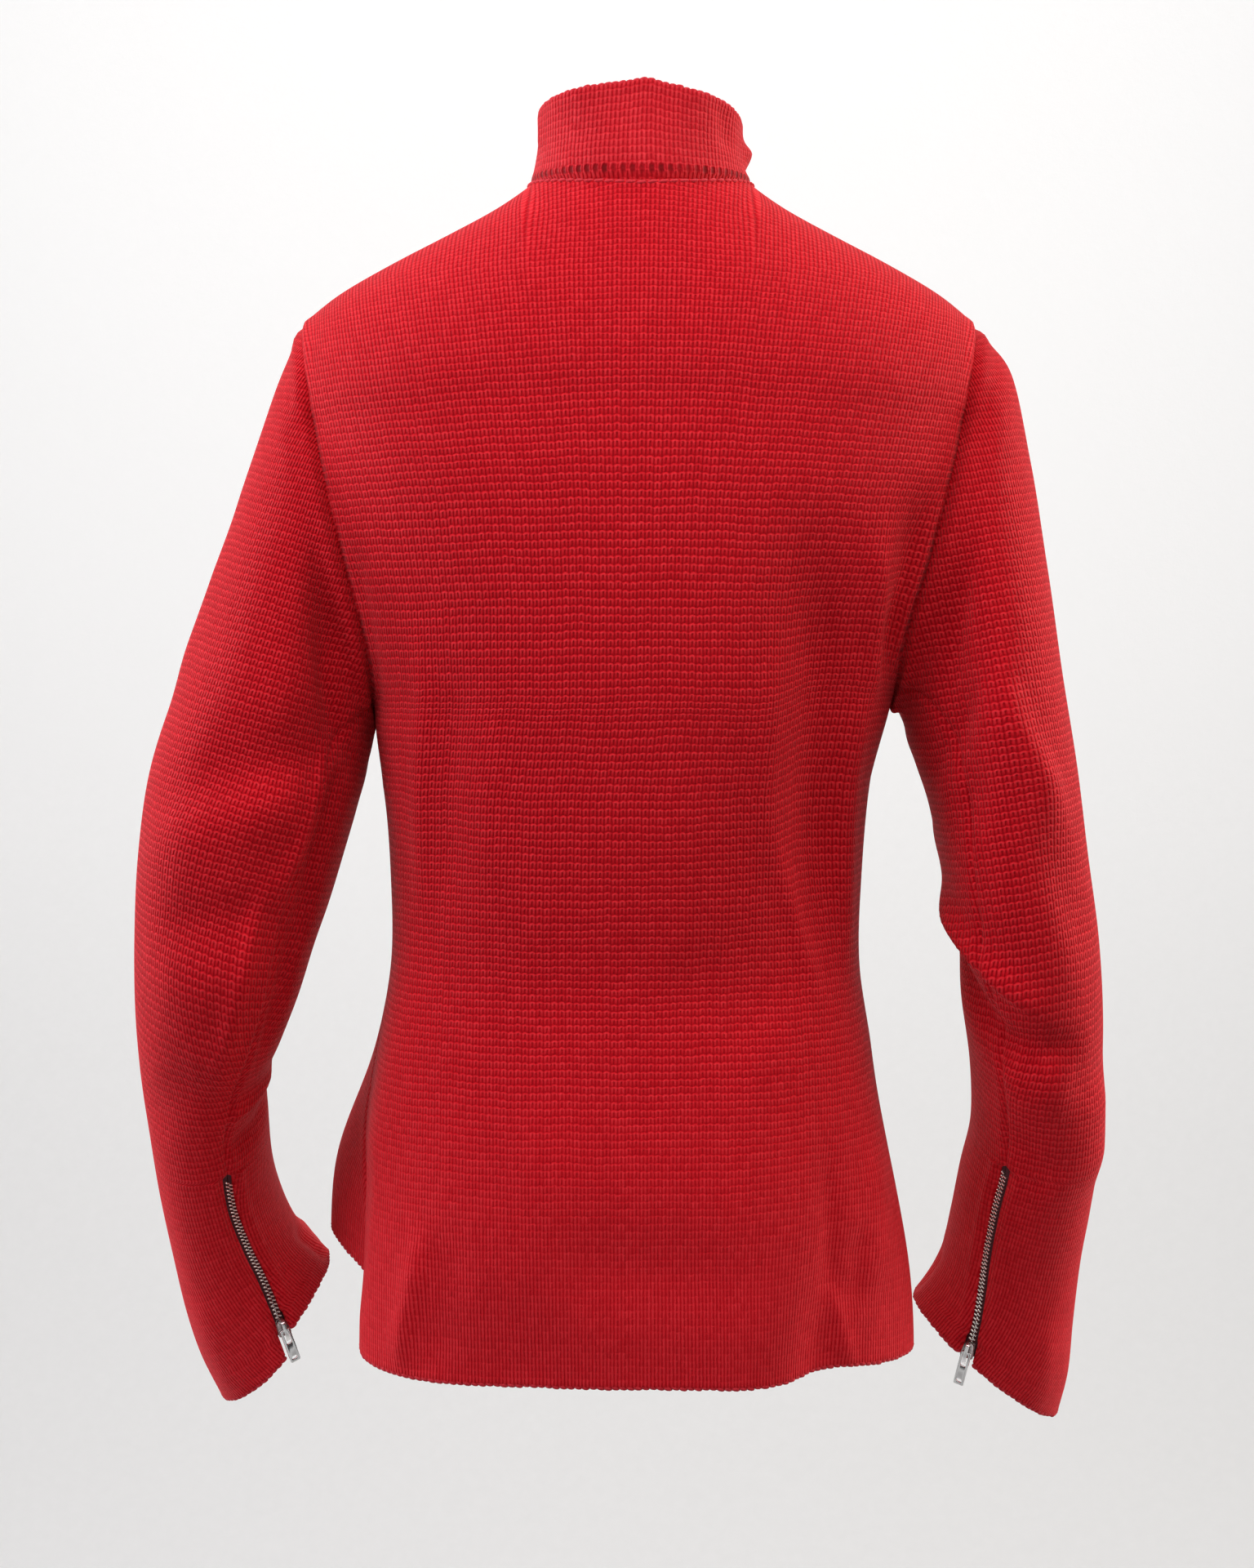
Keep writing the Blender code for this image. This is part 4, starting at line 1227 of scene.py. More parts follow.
@dataclass
class CuffZip:
    """One cuff's zip: teeth, tapes, slider and pull tab. In its own axes X runs across it, Y up
    the sleeve and Z out of the cloth."""

    sleeve: Sleeve
    chain_set_in: float = 0.6
    tooth_pitch: float = 2.5
    tooth_stagger: float = 0.95  # how far a tooth sits below the one across from it
    tooth_reach: float = 2.2
    tooth_overlap: float = 0.05
    tooth_length: float = 0.92
    tooth_depth: float = 1.9
    tooth_slant: float = -28.0
    tooth_tip: Pair = (0.72, 0.7)
    chain_middle: float = -0.75
    tape_rows: int = 60
    tape_section: tuple[Pair, ...] = (  # from the zip's middle, and how far below the face
        (0.3, 1.3), (1.6, 1.3), (2.7, 1.6), (3.6, 3.5), (6.0, 3.7), (9.5, 3.7), (13.0, 3.7)
    )
    tape_wall: float = 0.9
    tape_end: float = 2.5
    tape_past: float = 6.0
    slider_set_in: float = 1.0
    slider_length: float = 9.5
    slider_width: float = 8.0
    slider_nose_width: float = 5.6
    slider_top: float = 2.4
    slider_bottom: float = -2.2
    slider_plate: float = 1.1
    slider_post: Pair = (2.4, 4.4)
    post_at: float = -1.6
    post_sink: float = 0.5
    post_round: float = 0.9
    foot_less: Pair = (1.2, 0.8)  # how much narrower the lower plate is at its heel and its nose
    nose_round: float = 0.42
    heel_round: float = 1.1
    lug_width: float = 2.3
    lug_bar: float = 0.9  # its thickness
    lug_foot: Pair = (3.9, 1.9)  # up the zip, and how far out it starts
    lug_steps: tuple[Pair, ...] = ((3.0, 0.15), (3.2, 0.0), (2.4, -0.35), (1.7, -0.9), (0.9, -1.1))
    lug_end: Triple = (0.9, 1, 0.8)
    lug_round: float = 0.95
    lug_bevel: float = 0.28
    slider_bevel: float = 0.18
    small_bevel: float = 0.2
    bridge_room: float = 2.0
    pull_length: float = 20.0
    pull_width: float = 6.2
    pull_thickness: float = 1.2
    pull_end: float = 1.2
    pull_round: float = 0.8
    window: Triple = (3.4, 7.4, 0.7)  # width, length and the corners' rounding
    slot: Triple = (3.2, 1.7, 0.82)
    slot_edge: float = 1.7
    pivot_up: float = -1.6
    seam: Array = field(init=False)
    out: Array = field(init=False)
    from_hem: Array = field(init=False)

    def __post_init__(self) -> None:
        """Finds the zip's line on the closed sleeve."""
        sleeve = self.sleeve
        self.seam = sleeve.closed_points[:, 0]
        length = length_of(self.seam)
        self.from_hem = length[-1] - length
        up = unit(-np.gradient(self.seam, axis=0))
        out = unit(sleeve.closed_normals[:, 0] + sleeve.closed_normals[:, -1])
        self.out = unit(out - up * np.sum(out * up, axis=1, keepdims=True))

    @property
    def side(self) -> Side:
        """The sleeve's side."""
        return self.sleeve.side

    @property
    def pivot_out(self) -> float:
        """How far out of the slider's middle the pull tab's hinge lies."""
        return self.slider_top + self.bridge_room / 2

    @property
    def chain_top(self) -> float:
        """The distance from the hem to the top of the teeth."""
        return float(np.interp(self.sleeve.zip_top, self.sleeve.at, self.from_hem)) - self.chain_set_in

    def read(self, rows: Array, from_hem: float) -> Array:
        """What the rows hold at a distance from the hem."""
        line = rows.reshape(len(rows), -1)
        return read_line(line[::-1], self.from_hem[::-1], from_hem).reshape(rows.shape[1:])

    def place(self, from_hem: float) -> Matrix:
        """The zip's axes at a distance from the hem."""
        here, above = (self.read(self.seam, from_hem + step) for step in (-2.0, 2.0))
        up, out = unit(above - here), self.read(self.out, from_hem)
        out = unit(out - up * np.dot(out, up))
        return axes(self.read(self.seam, from_hem), np.cross(up, out), up, out)

    def tooth(self) -> Piece:
        """One tooth, from its shank at +X to its narrower head past the middle."""
        reach, overlap = self.tooth_reach, self.tooth_overlap
        size = (reach, self.tooth_length, self.tooth_depth)
        tooth = Bench.box("tooth", size, (reach / 2, 0, self.chain_middle))
        with Bench.edit(tooth, lambda middle, normal: normal.x < -0.9):
            Bench.extrude(-overlap, 0, 0)
            bpy.ops.transform.resize(value=(1, *self.tooth_tip))
        Bench.bevel(tooth, self.small_bevel, 1, 50)
        return tooth

    def teeth(self) -> Piece:
        """Both rows of teeth, closed into each other."""
        start = self.slider_set_in + self.slider_length - 1.0
        places = []
        count = int((self.chain_top - start) / self.tooth_pitch)
        for number in range(2 * count):
            rise = number // 2 * self.tooth_pitch + number % 2 * self.tooth_stagger
            place = self.place(start + rise + self.tooth_length)
            turn = Matrix.Rotation(math.pi * (number % 2), 4, "Z")
            places.append(place @ turn @ Matrix.Rotation(math.radians(self.tooth_slant), 4, "Z"))
        return Bench.lay(self.tooth(), places, f"teeth_{self.side.value}_metal")

    def tape(self, edge: Edge) -> Piece:
        """The tape on one side: it carries the teeth and goes in under the cloth."""
        sleeve = self.sleeve
        rises = np.linspace(self.chain_top + self.tape_past, self.tape_end, self.tape_rows)
        sides, depths = np.array(self.tape_section).T
        points, normals = [], []
        for rise in rises:
            line = self.read(sleeve.closed_points, rise)
            normal = unit(self.read(sleeve.closed_normals, rise))
            length = length_of(line)
            at = sides if edge is Edge.FIRST else length[-1] - sides
            points.append(read_line(line, length, at))
            normals.append(read_line(normal, length, at))
        normals = unit(np.array(normals))
        face = np.array(points) - normals * depths[:, None]
        x, y = np.meshgrid(sides, rises)
        facing = np.sum(grid_normals(face, 1) * normals) > 0
        letter = "a" if edge is Edge.FIRST else "b"
        cloth = Cloth(
            f"tape_{self.side.value}_{letter}_woven", face, x, y, x, y, 1 if facing else -1, self.tape_wall
        )
        return cloth.build()

    def slider_place(self) -> Matrix:
        """Where the slider sits, from the hinge of its pull tab."""
        joint = next(j for j in frame["joints"] if j["name"] == f"pull_{self.side.value}_swing")
        across = -np.array(joint["axis"])
        up = np.array(self.place(self.slider_set_in + self.slider_length / 2).col[1])[:3]
        up = unit(up - across * np.dot(up, across))
        out = np.cross(across, up)
        pivot = np.array(joint["pos_m"]) / MM
        middle = pivot - up * self.pivot_up - out * self.pivot_out
        return axes(middle, across, up, out)

    def plate(self, name: str, low: float, width: float, nose: float) -> Piece:
        """One of the slider's plates: round at its upper end and wider at its foot."""
        length, half = self.slider_length, self.slider_length / 2
        plate = Bench.box(name, (width, length, self.slider_plate), (0, 0, low + self.slider_plate / 2))
        with Bench.edit(plate, lambda middle, normal: normal.y > 0.9):
            bpy.ops.transform.resize(value=(nose / width, 1, 1), center_override=(0, half, 0))
        Bench.round_edges(plate, nose * self.nose_round, 5, test=lambda middle, way: middle.y > 0)
        Bench.round_edges(plate, self.heel_round, 3, test=lambda middle, way: middle.y < 1 - half)
        return plate

    def slider(self) -> Piece:
        """The slider: two plates on a post."""
        low_plate = self.slider_bottom
        top_plate = self.slider_top - self.slider_plate
        slider = self.plate("slider", top_plate, self.slider_width, self.slider_nose_width)
        heel_less, nose_less = self.foot_less
        foot = self.plate("foot", low_plate, self.slider_width - heel_less, self.slider_nose_width - nose_less)
        middle = (low_plate + top_plate) / 2 + self.post_sink
        post = Bench.box("post", (*self.slider_post, top_plate - low_plate), (0, self.post_at, middle))
        Bench.round_edges(post, self.post_round, 3)
        for part in (post, foot):
            Bench.combine(slider, part, "UNION")
        Bench.bevel(slider, self.slider_bevel, 2, 35)
        return slider

    def lug(self) -> Piece:
        """The strip that the pull tab hangs on: up from the nose, over its end bar and into its window."""
        bar, width, (start, rise) = self.lug_bar, self.lug_width, self.lug_foot
        roof = self.slider_top + self.bridge_room
        lug = Bench.box("lug", (width, bar, roof - rise), (0, start - bar / 2, (roof + rise) / 2))
        with Bench.edit(lug, lambda middle, normal: normal.z > 0.9):
            Bench.extrude(0, 0, bar)
        with Bench.edit(lug, lambda middle, normal: normal.y < -0.9 and middle.z > roof):
            for down, out in self.lug_steps:
                Bench.extrude(0, -down, out)
            bpy.ops.transform.resize(value=self.lug_end)
        Bench.round_edges(
            lug, self.lug_round, 4, 0, lambda middle, way: middle.z > roof + 0.1 and middle.y > start - 0.1
        )
        Bench.bevel(lug, self.lug_bevel, 3, 50)
        return lug

    def pull(self) -> Piece:
        """The pull tab: a flat bar with a window round the bridge and a slot near its foot."""
        length, width, thick = self.pull_length, self.pull_width, self.pull_thickness
        top = self.pull_end / 2
        pull = Bench.box("pull", (width, length, thick), (0, top - length / 2, 0))
        Bench.round_edges(pull, self.pull_round, 4)
        window_y = top - self.pull_end - self.window[1] / 2
        slot_y = top - length + self.slot_edge + self.slot[1] / 2
        for (wide, long, rounding), middle_y in ((self.window, window_y), (self.slot, slot_y)):
            hole = Bench.box("hole", (wide, long, thick * 3), (0, middle_y, 0))
            Bench.round_edges(hole, rounding, 5)
            Bench.combine(pull, hole, "DIFFERENCE")
        Bench.bevel(pull, self.small_bevel, 3, 50)
        return pull

    def pull_place(self) -> Matrix:
        """Where the pull tab hangs: from its hinge, straight down but not through the slider."""
        place = self.slider_place()
        pivot = place @ Matrix.Translation((0, self.pivot_up * MM, self.pivot_out * MM))
        lift = max(math.atan2(-place[2][2], place[2][1]), 0.0)
        return pivot @ Matrix.Rotation(-lift, 4, "X")


# ---------------- the knitted edges


@dataclass
class Edging:
    """The cast-off loops along the free edges, and the chain that sews the collar on."""

    pitch: float = 4.0
    loop: Triple = (3.2, 5.4, 3.4)
    tilt: float = 16.0
    sink: float = 0.9
    uneven_size: float = 0.08
    uneven_tilt: float = 5.0
    uneven_sink: float = 0.25
    chain_pitch: float = 6.0
    chain_loop: Triple = (2.0, 5.7, 1.8)
    chain_below: float = 3.4
    chain_sink: float = 0.1
    chain_turn: float = 7.0
    seed: int = 5

    def along(self, line: Array, outs: Array, pitch: float) -> list[tuple]:
        """Places every so often on a line, with its direction and an outward direction there."""
        length = length_of(line)
        count = max(int(length[-1] / pitch), 1)
        places = []
        for number in range(count):
            at = (number + 0.5) * length[-1] / count
            before, here, after = (read_line(line, length, at + step) for step in (-1.0, 0.0, 1.0))
            out, along = unit(read_line(outs, length, at)), unit(after - before)
            places.append((here, along, unit(out - along * np.dot(out, along))))
        return places

    def cast_off(self, cloth: Cloth, edge: Edge, name: str) -> Piece:
        """A row of loops over a free edge of a piece of cloth."""
        chance = np.random.default_rng(self.seed)
        outer, inner = cloth.skins()
        lines = cloth.rim(edge, outer, inner)
        nose, back = lines[len(lines) // 2], (lines[0] + lines[-1]) / 2
        away = unit(nose - back)
        places = []
        for place, along, out in self.along(back, away, self.pitch):
            side = np.cross(along, out)
            grow = 1 + chance.uniform(-self.uneven_size, self.uneven_size)
            turn = math.radians(self.tilt + chance.uniform(-self.uneven_tilt, self.uneven_tilt))
            seat = place + out * (self.sink + chance.uniform(-self.uneven_sink, self.uneven_sink))
            matrix = axes(seat, out, along, side) @ Matrix.Rotation(turn, 4, "Z")
            places.append(matrix @ Matrix.Scale(grow, 4))
        return Bench.lay(Bench.ball("loop", self.loop), places, name)

    def chain(self, cloth: Cloth, share: float, columns: Array, name: str) -> Piece:
        """Chain stitches below the neck seam of a panel."""
        outer, _ = cloth.skins()
        inside = np.flatnonzero(np.abs(columns) <= share + 1e-9)
        below = cloth.from_edge(Edge.HIGH)
        line, outs = [], []
        for column in inside:
            order = np.argsort(below[:, column])
            line.append(read_line(outer[order, column], below[order, column], self.chain_below))
            outs.append(cloth.normals[-3, column])
        places = []
        for place, along, out in self.along(np.array(line), np.array(outs), self.chain_pitch):
            matrix = axes(place + out * self.chain_sink, np.cross(along, out), along, out)
            places.append(matrix @ Matrix.Rotation(math.radians(self.chain_turn), 4, "Z"))
        return Bench.lay(Bench.ball("stitch", self.chain_loop), places, name)


# ---------------- finishes


Value = Union[float, Sequence[float], Socket]
NUMBER, VECTOR = "NodeSocketFloat", "NodeSocketVector"


class Graph:
    """Adds nodes to a tree and joins them."""

    def __init__(self, tree: Tree) -> None:
        """Starts on a tree."""
        self.tree = tree

    def node(self, kind: str, **settings: object) -> Node:
        """A new node with these settings."""
        node = self.tree.nodes.new(kind)
        for name, value in settings.items():
            setattr(node, name, value)
        return node

    def feed(self, socket: Socket, value: Value) -> None:
        """Links a socket to another, or sets its value."""
        if isinstance(value, Socket):
            self.tree.links.new(value, socket)
        else:
            socket.default_value = value

    def math(self, operation: str, *values: Value) -> Socket:
        """The result of a Math node."""
        node = self.node("ShaderNodeMath", operation=operation)
        for socket, value in zip(node.inputs, values):
            self.feed(socket, value)
        return node.outputs[0]

    def sum(self, *terms: Value) -> Socket:
        """The sum of two or more terms."""
        total = terms[0]
        for term in terms[1:]:
            total = self.math("ADD", total, term)
        return total

    def times(self, *factors: Value) -> Socket:
        """The product of two or more factors."""
        product = factors[0]
        for factor in factors[1:]:
            product = self.math("MULTIPLY", product, factor)
        return product

    def minus(self, value: Value, less: Value) -> Socket:
        """What is left of a value."""
        return self.math("SUBTRACT", value, less)

    def size(self, value: Value) -> Socket:
        """A value without its sign."""
        return self.math("ABSOLUTE", value)

    def split(self, place: Value) -> bpy.types.NodeOutputs:
        """The parts of a place."""
        node = self.node("ShaderNodeSeparateXYZ")
        self.feed(node.inputs[0], place)
        return node.outputs

    def place(self) -> Socket:
        """Object coordinates, in metres."""
        return self.node("ShaderNodeTexCoord").outputs["Object"]

    def knitting(self) -> Socket:
        """The place in the cloth, from its own map."""
        return self.node("ShaderNodeUVMap", uv_map="knit").outputs[0]

    def smooth(self, value: Value, low: float, high: float, start: float = 0, end: float = 1) -> Socket:
        """A soft step from start to end as the value goes from low to high."""
        node = self.node("ShaderNodeMapRange", interpolation_type="SMOOTHSTEP")
        names = ("Value", "From Min", "From Max", "To Min", "To Max")
        for name, number in zip(names, (value, low, high, start, end)):
            self.feed(node.inputs[name], number)
        return node.outputs["Result"]

    def stretch(self, place: Value, scale: Triple) -> Socket:
        """A place stretched by a Mapping node."""
        node = self.node("ShaderNodeMapping")
        self.feed(node.inputs["Vector"], place)
        node.inputs["Scale"].default_value = scale
        return node.outputs[0]

    def noise(self, place: Value, scale: float, detail: float = 2, rough: float = 0.5) -> Node:
        """A noise texture at a place."""
        node = self.node("ShaderNodeTexNoise")
        self.feed(node.inputs["Vector"], place)
        for name, value in (("Scale", scale), ("Detail", detail), ("Roughness", rough)):
            node.inputs[name].default_value = value
        return node

    def chance(self, x: Value, y: Value) -> Socket:
        """A number from 0 to 1 that is the same wherever x and y are."""
        join = self.node("ShaderNodeCombineXYZ")
        self.feed(join.inputs[0], x)
        self.feed(join.inputs[1], y)
        node = self.node("ShaderNodeTexWhiteNoise", noise_dimensions="2D")
        self.feed(node.inputs["Vector"], join.outputs[0])
        return node.outputs["Value"]

    def ramp(self, value: Value, stops: Sequence[tuple[float, Triple]]) -> Socket:
        """A colour from a ramp with these stops."""
        node = self.node("ShaderNodeValToRGB")
        while len(node.color_ramp.elements) < len(stops):
            node.color_ramp.elements.new(0.5)
        for element, (at, color) in zip(node.color_ramp.elements, stops):
            element.position, element.color = at, (*color, 1.0)
        self.feed(node.inputs[0], value)
        return node.outputs["Color"]

    def shade(self, color: Value, by: Value) -> Socket:
        """A colour made darker or lighter by a factor."""
        node = self.node("ShaderNodeVectorMath", operation="SCALE")
        self.feed(node.inputs[0], color)
        self.feed(node.inputs["Scale"], by)
        return node.outputs[0]

    def bump(self, height: Value, distance: float) -> Socket:
        """A normal from a height, whose distance is in metres."""
        node = self.node("ShaderNodeBump")
        node.inputs["Strength"].default_value = 1.0
        node.inputs["Distance"].default_value = distance
        self.feed(node.inputs["Height"], height)
        return node.outputs[0]


def new_group(
    name: str, inputs: Sequence[tuple[str, str]], outputs: Sequence[tuple[str, str]]
) -> tuple[Tree, Graph, Node, Node]:
    """A new shader node group.

    Args:
        name: Its name.
        inputs: Names and kinds of its inputs.
        outputs: Names and kinds of its outputs.

    Returns:
        The group, a graph on it, and its input and output nodes.
    """
    tree = bpy.data.node_groups.new(name, "ShaderNodeTree")
    for way, sockets in (("INPUT", inputs), ("OUTPUT", outputs)):
        for label, kind in sockets:
            tree.interface.new_socket(name=label, in_out=way, socket_type=kind)
    graph = Graph(tree)
    return tree, graph, graph.node("NodeGroupInput"), graph.node("NodeGroupOutput")


class Ramp(NamedTuple):
    """A soft step: from where to where, and what it starts and ends at."""

    low: float
    high: float
    start: float = 0.0
    end: float = 1.0


@dataclass(frozen=True)
class Stitches:
    """Knitted stitches, as a shader group: in each wale two legs that join in an arch at each row's top.

    The group's Place counts wales in X and rows in Y. Its Height is 0 between the stitches and 1 on
    the yarn, and its Tint varies from stitch to stitch round 0.5. Rib opens the arches into two
    plain strands, as near the hem and the neck.
    """

    drift: Triple = (0.55, 3, 0.6)  # the noise that moves the stitches about
    drift_up: float = 2.2  # how much further it moves them up than across
    wave: Triple = (0.09, 2, 0.5)
    wave_rise: float = 0.9
    strand_share: float = 0.5
    streak: Triple = (0.16, 0.9, 1)
    streak_line: Ramp = Ramp(0.35, 0.65, 0.72, 1.12)
    hem_line: Ramp = Ramp(6, 60, 0.15)
    neck_rib: Ramp = Ramp(112, 142, 0, 0.36)
    foot: Ramp = Ramp(0, 0.34)
    head: Ramp = Ramp(0.80, 1.0, 1, 0)
    hem_slit: Ramp = Ramp(12, 90, 0.62)
    slit_width: Pair = (0.05, 0.55)
    between_crown: Ramp = Ramp(0.60, 0.86, 1, 0.45)
    crown: Ramp = Ramp(0.50, 0.76)
    crown_closed: float = 0.92
    fibre: Triple = (9, 3.2, 1)
    crown_dip: Ramp = Ramp(0.30, 0.72, 0.20, 0)
    size: float = 0.86
    size_by_cell: float = 0.08
    size_by_leg: float = 0.12
    size_by_fibre: float = 0.22
    tint_by: tuple[float, ...] = (0.30, 0.25, 0.2, 0.25)  # cell, leg, fibre and streak

    def make(self) -> Tree:
        """Builds the group."""
        values = ("Wander", "Arch", "Slit", "Line", "Rib")
        tree, g, inside, outside = new_group(
            "knitted stitches",
            (("Place", VECTOR), *((name, NUMBER) for name in values)),
            (("Height", NUMBER), ("Tint", NUMBER)),
        )
        place, wander, arch, slit, depth, rib = (inside.outputs[name] for name in ("Place", *values))
        drift = g.node("ShaderNodeSeparateColor")
        g.feed(drift.inputs[0], g.noise(place, *self.drift).outputs["Color"])
        across, up_cloth, _ = g.split(place)
        u = g.sum(across, g.times(g.minus(drift.outputs[0], 0.5), wander))
        v = g.sum(up_cloth, g.times(g.minus(drift.outputs[1], 0.5), g.times(wander, self.drift_up)))
        wave = g.minus(g.noise(place, *self.wave).outputs[0], 0.5)
        wale, strand = g.math("FLOOR", u), g.math("FLOOR", g.times(u, 2.0))
        by_strand = g.times(g.minus(g.chance(strand, g.math("FLOOR", v)), 0.5), self.strand_share)
        uneven = g.times(g.sum(g.minus(g.chance(wale, 0.0), 0.5), by_strand), wander)
        bow = g.times(g.math("COSINE", g.times(u, 2 * math.pi)), arch)
        row = g.sum(v, bow, uneven, g.times(wave, self.wave_rise))
        up = g.math("FRACT", row)
        cell, leg = g.chance(wale, g.math("FLOOR", row)), g.chance(strand, g.math("FLOOR", row))
        streak = g.noise(g.stretch(place, self.streak), 1.0, 2, 0.5).outputs[0]
        rib = g.math("MAXIMUM", rib, g.smooth(up_cloth, *self.neck_rib))
        arched = g.times(g.smooth(up_cloth, *self.hem_line), g.minus(1.0, rib))
        depth = g.times(depth, arched, g.smooth(streak, *self.streak_line))
        dome = g.times(g.smooth(up, *self.foot), g.smooth(up, *self.head))
        dome = g.sum(g.minus(1.0, depth), g.times(dome, depth))
        half, slit = g.times(u, math.pi), g.times(slit, g.smooth(up_cloth, *self.hem_slit))
        between, middle = (
            g.smooth(g.size(g.math(way, half)), *self.slit_width, slit, 0.0) for way in ("SINE", "COSINE")
        )
        between = g.times(between, g.smooth(up, *self.between_crown))
        closed = g.times(g.smooth(up, *self.crown), g.times(arched, self.crown_closed))
        yarn = g.times(g.minus(1.0, between), g.minus(1.0, g.times(middle, g.minus(1.0, closed))))
        fibre = g.noise(g.stretch(place, self.fibre), 1.0, 2, 0.6).outputs[0]
        crown = g.minus(self.size, g.times(g.smooth(up, *self.crown_dip), arched))
        size = g.sum(crown, g.times(cell, self.size_by_cell), g.times(leg, self.size_by_leg))
        fuzz = g.times(g.minus(fibre, 0.5), self.size_by_fibre)
        g.feed(outside.inputs["Height"], g.sum(g.times(dome, yarn, size), fuzz))
        parts = (g.times(part, share) for part, share in zip((cell, leg, fibre, streak), self.tint_by))
        g.feed(outside.inputs["Tint"], g.sum(*parts))
        return tree


def grain_group() -> Tree:
    """Fine lines that run along Y on a metal, with small nicks, on Object coordinates."""
    tree, g, inside, outside = new_group(
        "metal grain", (("Place", VECTOR), ("Nicks", NUMBER)), (("Height", NUMBER), ("Wear", NUMBER))
    )
    place = inside.outputs["Place"]
    lines = g.noise(g.stretch(place, (9000, 700, 2500)), 1.0, 3, 0.6).outputs[0]
    nicks = g.times(g.smooth(g.noise(place, 1500, 3, 0.7).outputs[0], 0.60, 0.72), inside.outputs["Nicks"])
    g.feed(outside.inputs["Height"], g.minus(lines, nicks))
    g.feed(outside.inputs["Wear"], g.sum(g.times(lines, 0.6), g.times(nicks, 0.4)))
    return tree


class Finish:
    """A finish, which starts from a bare Principled shader."""

    def start(self, name: str, **plain: float | Triple) -> tuple[Material, Graph, Node]:
        """Starts a material.

        Args:
            name: Its name.
            plain: What is the same all over it. An underscore stands for a space in a socket's name.

        Returns:
            The material, a graph on its nodes, and its shader.
        """
        material = bpy.data.materials.new(name)
        material.use_nodes = True
        shader = material.node_tree.nodes["Principled BSDF"]
        for name, value in plain.items():
            socket = shader.inputs[name.replace("_", " ")]
            socket.default_value = value if isinstance(value, float) else (*value, 1.0)
        return material, Graph(material.node_tree), shader

    def use(self, graph: Graph, group: Tree, **values: Value) -> Node:
        """Places a group with these values on its inputs."""
        node = graph.node("ShaderNodeGroup", node_tree=group)
        for name, value in values.items():
            graph.feed(node.inputs[name], value)
        return node


@dataclass(frozen=True)
class KnitFinish(Finish):
    """Soft red wool, with the stitches of the knitting map, painted shade between them and a painted highlight
    on their crowns.
    """

    name: str = "red_cashmere_knit"
    hollow_painted_shade: Triple = (0.31, 0.0, 0.003)
    shade: Triple = (0.46, 0.0, 0.007)
    main: Triple = (0.64, 0.002, 0.010)
    crown_painted_highlight: Triple = (0.76, 0.024, 0.036)
    stops: tuple[float, ...] = (0.0, 0.30, 0.66, 1.0)  # the heights of these four colours: two of painted shade, the wool's own, and a painted highlight
    tint: Triple = (0.87, 0.18, 0.08)  # the least, and how much a stitch and a cloud add
    fuzz: Triple = (1900, 3, 0.65)
    fuzz_share: float = 0.30
    cloud: Triple = (16, 3, 0.55)
    relief: float = 0.0012
    wander: float = 0.12
    arch: float = 0.07
    slit: float = 0.74
    line: float = 0.40
    rib: float = 0.0
    picked_up: float = 0.0  # the row that was picked up from another piece and stands open
    hole_painted_shade: float = 0.5
    hole_uneven: float = 0.45
    hole_lean: float = 0.12
    hole_height: Ramp = Ramp(0.25, 0.85, 1, 0)
    hole_width: Ramp = Ramp(0.35, 0.95)
    roughness: float = 0.62
    sheen: float = 0.11
    sheen_tint: Triple = (1.0, 0.50, 0.52)

    def make(self, stitches: Tree) -> Material:
        """Builds the material."""
        material, g, shader = self.start(
            self.name, Roughness=self.roughness, Specular_IOR_Level=0.06, Sheen_Weight=self.sheen,
            Sheen_Roughness=0.45, Sheen_Tint=self.sheen_tint,
        )
        place = g.knitting()
        stitch = self.use(
            g, stitches, Place=place, Wander=self.wander, Arch=self.arch,
            Slit=self.slit, Line=self.line, Rib=self.rib,
        )
        where = g.place()
        fuzz, cloud = (g.noise(where, *noise).outputs[0] for noise in (self.fuzz, self.cloud))
        height = g.sum(stitch.outputs["Height"], g.times(g.minus(fuzz, 0.5), self.fuzz_share))
        # The holes of the picked-up row get a low height, so the colour ramp paints shade in them.
        if self.picked_up:
            knitted = self.holes(g, place)
            height = g.times(height, knitted)
        # The colour follows the stitch height: painted shade in the gaps between stitches, and a painted
        # highlight on the crowns.
        color = g.ramp(height, tuple(zip(self.stops, (self.hollow_painted_shade, self.shade, self.main, self.crown_painted_highlight))))
        least, by_stitch, by_cloud = self.tint
        tint = g.sum(least, g.times(stitch.outputs["Tint"], by_stitch), g.times(cloud, by_cloud))
        # The holes are darkened further: painted shade inside them.
        if self.picked_up:
            tint = g.times(tint, g.sum(1 - self.hole_painted_shade, g.times(knitted, self.hole_painted_shade)))
        g.feed(shader.inputs["Base Color"], g.shade(color, tint))
        g.feed(shader.inputs["Normal"], g.bump(height, self.relief))
        return material

    def holes(self, g: Graph, place: Value) -> Socket:
        """0 in the holes of the picked-up row, one to a wale, and 1 elsewhere."""
        across, up, _ = g.split(place)
        off = g.size(g.minus(up, self.picked_up))
        wave = g.math("SINE", g.times(g.sum(across, g.times(off, self.hole_lean)), math.pi))
        hole = g.times(g.smooth(off, *self.hole_height), g.smooth(g.size(wave), *self.hole_width))
        uneven = g.times(g.chance(g.math("FLOOR", across), 3.0), self.hole_uneven)
        open_share = g.sum(1 - self.hole_uneven, uneven)
        return g.minus(1.0, g.times(hole, open_share))


@dataclass(frozen=True)
class YarnFinish(Finish):
    """The same wool as single loops."""

    name: str = "red_cashmere_yarn"
    shade: Triple = (0.44, 0.004, 0.018)
    main: Triple = (0.68, 0.030, 0.045)

    def make(self) -> Material:
        """Builds the material."""
        material, g, shader = self.start(
            self.name, Roughness=0.9, Specular_IOR_Level=0.15, Sheen_Weight=0.3, Sheen_Tint=(1.0, 0.5, 0.52)
        )
        fibre = g.noise(g.place(), 1100, 3, 0.65).outputs[0]
        g.feed(shader.inputs["Base Color"], g.ramp(fibre, ((0.25, self.shade), (0.65, self.main))))
        g.feed(shader.inputs["Normal"], g.bump(fibre, 0.0005))
        return material


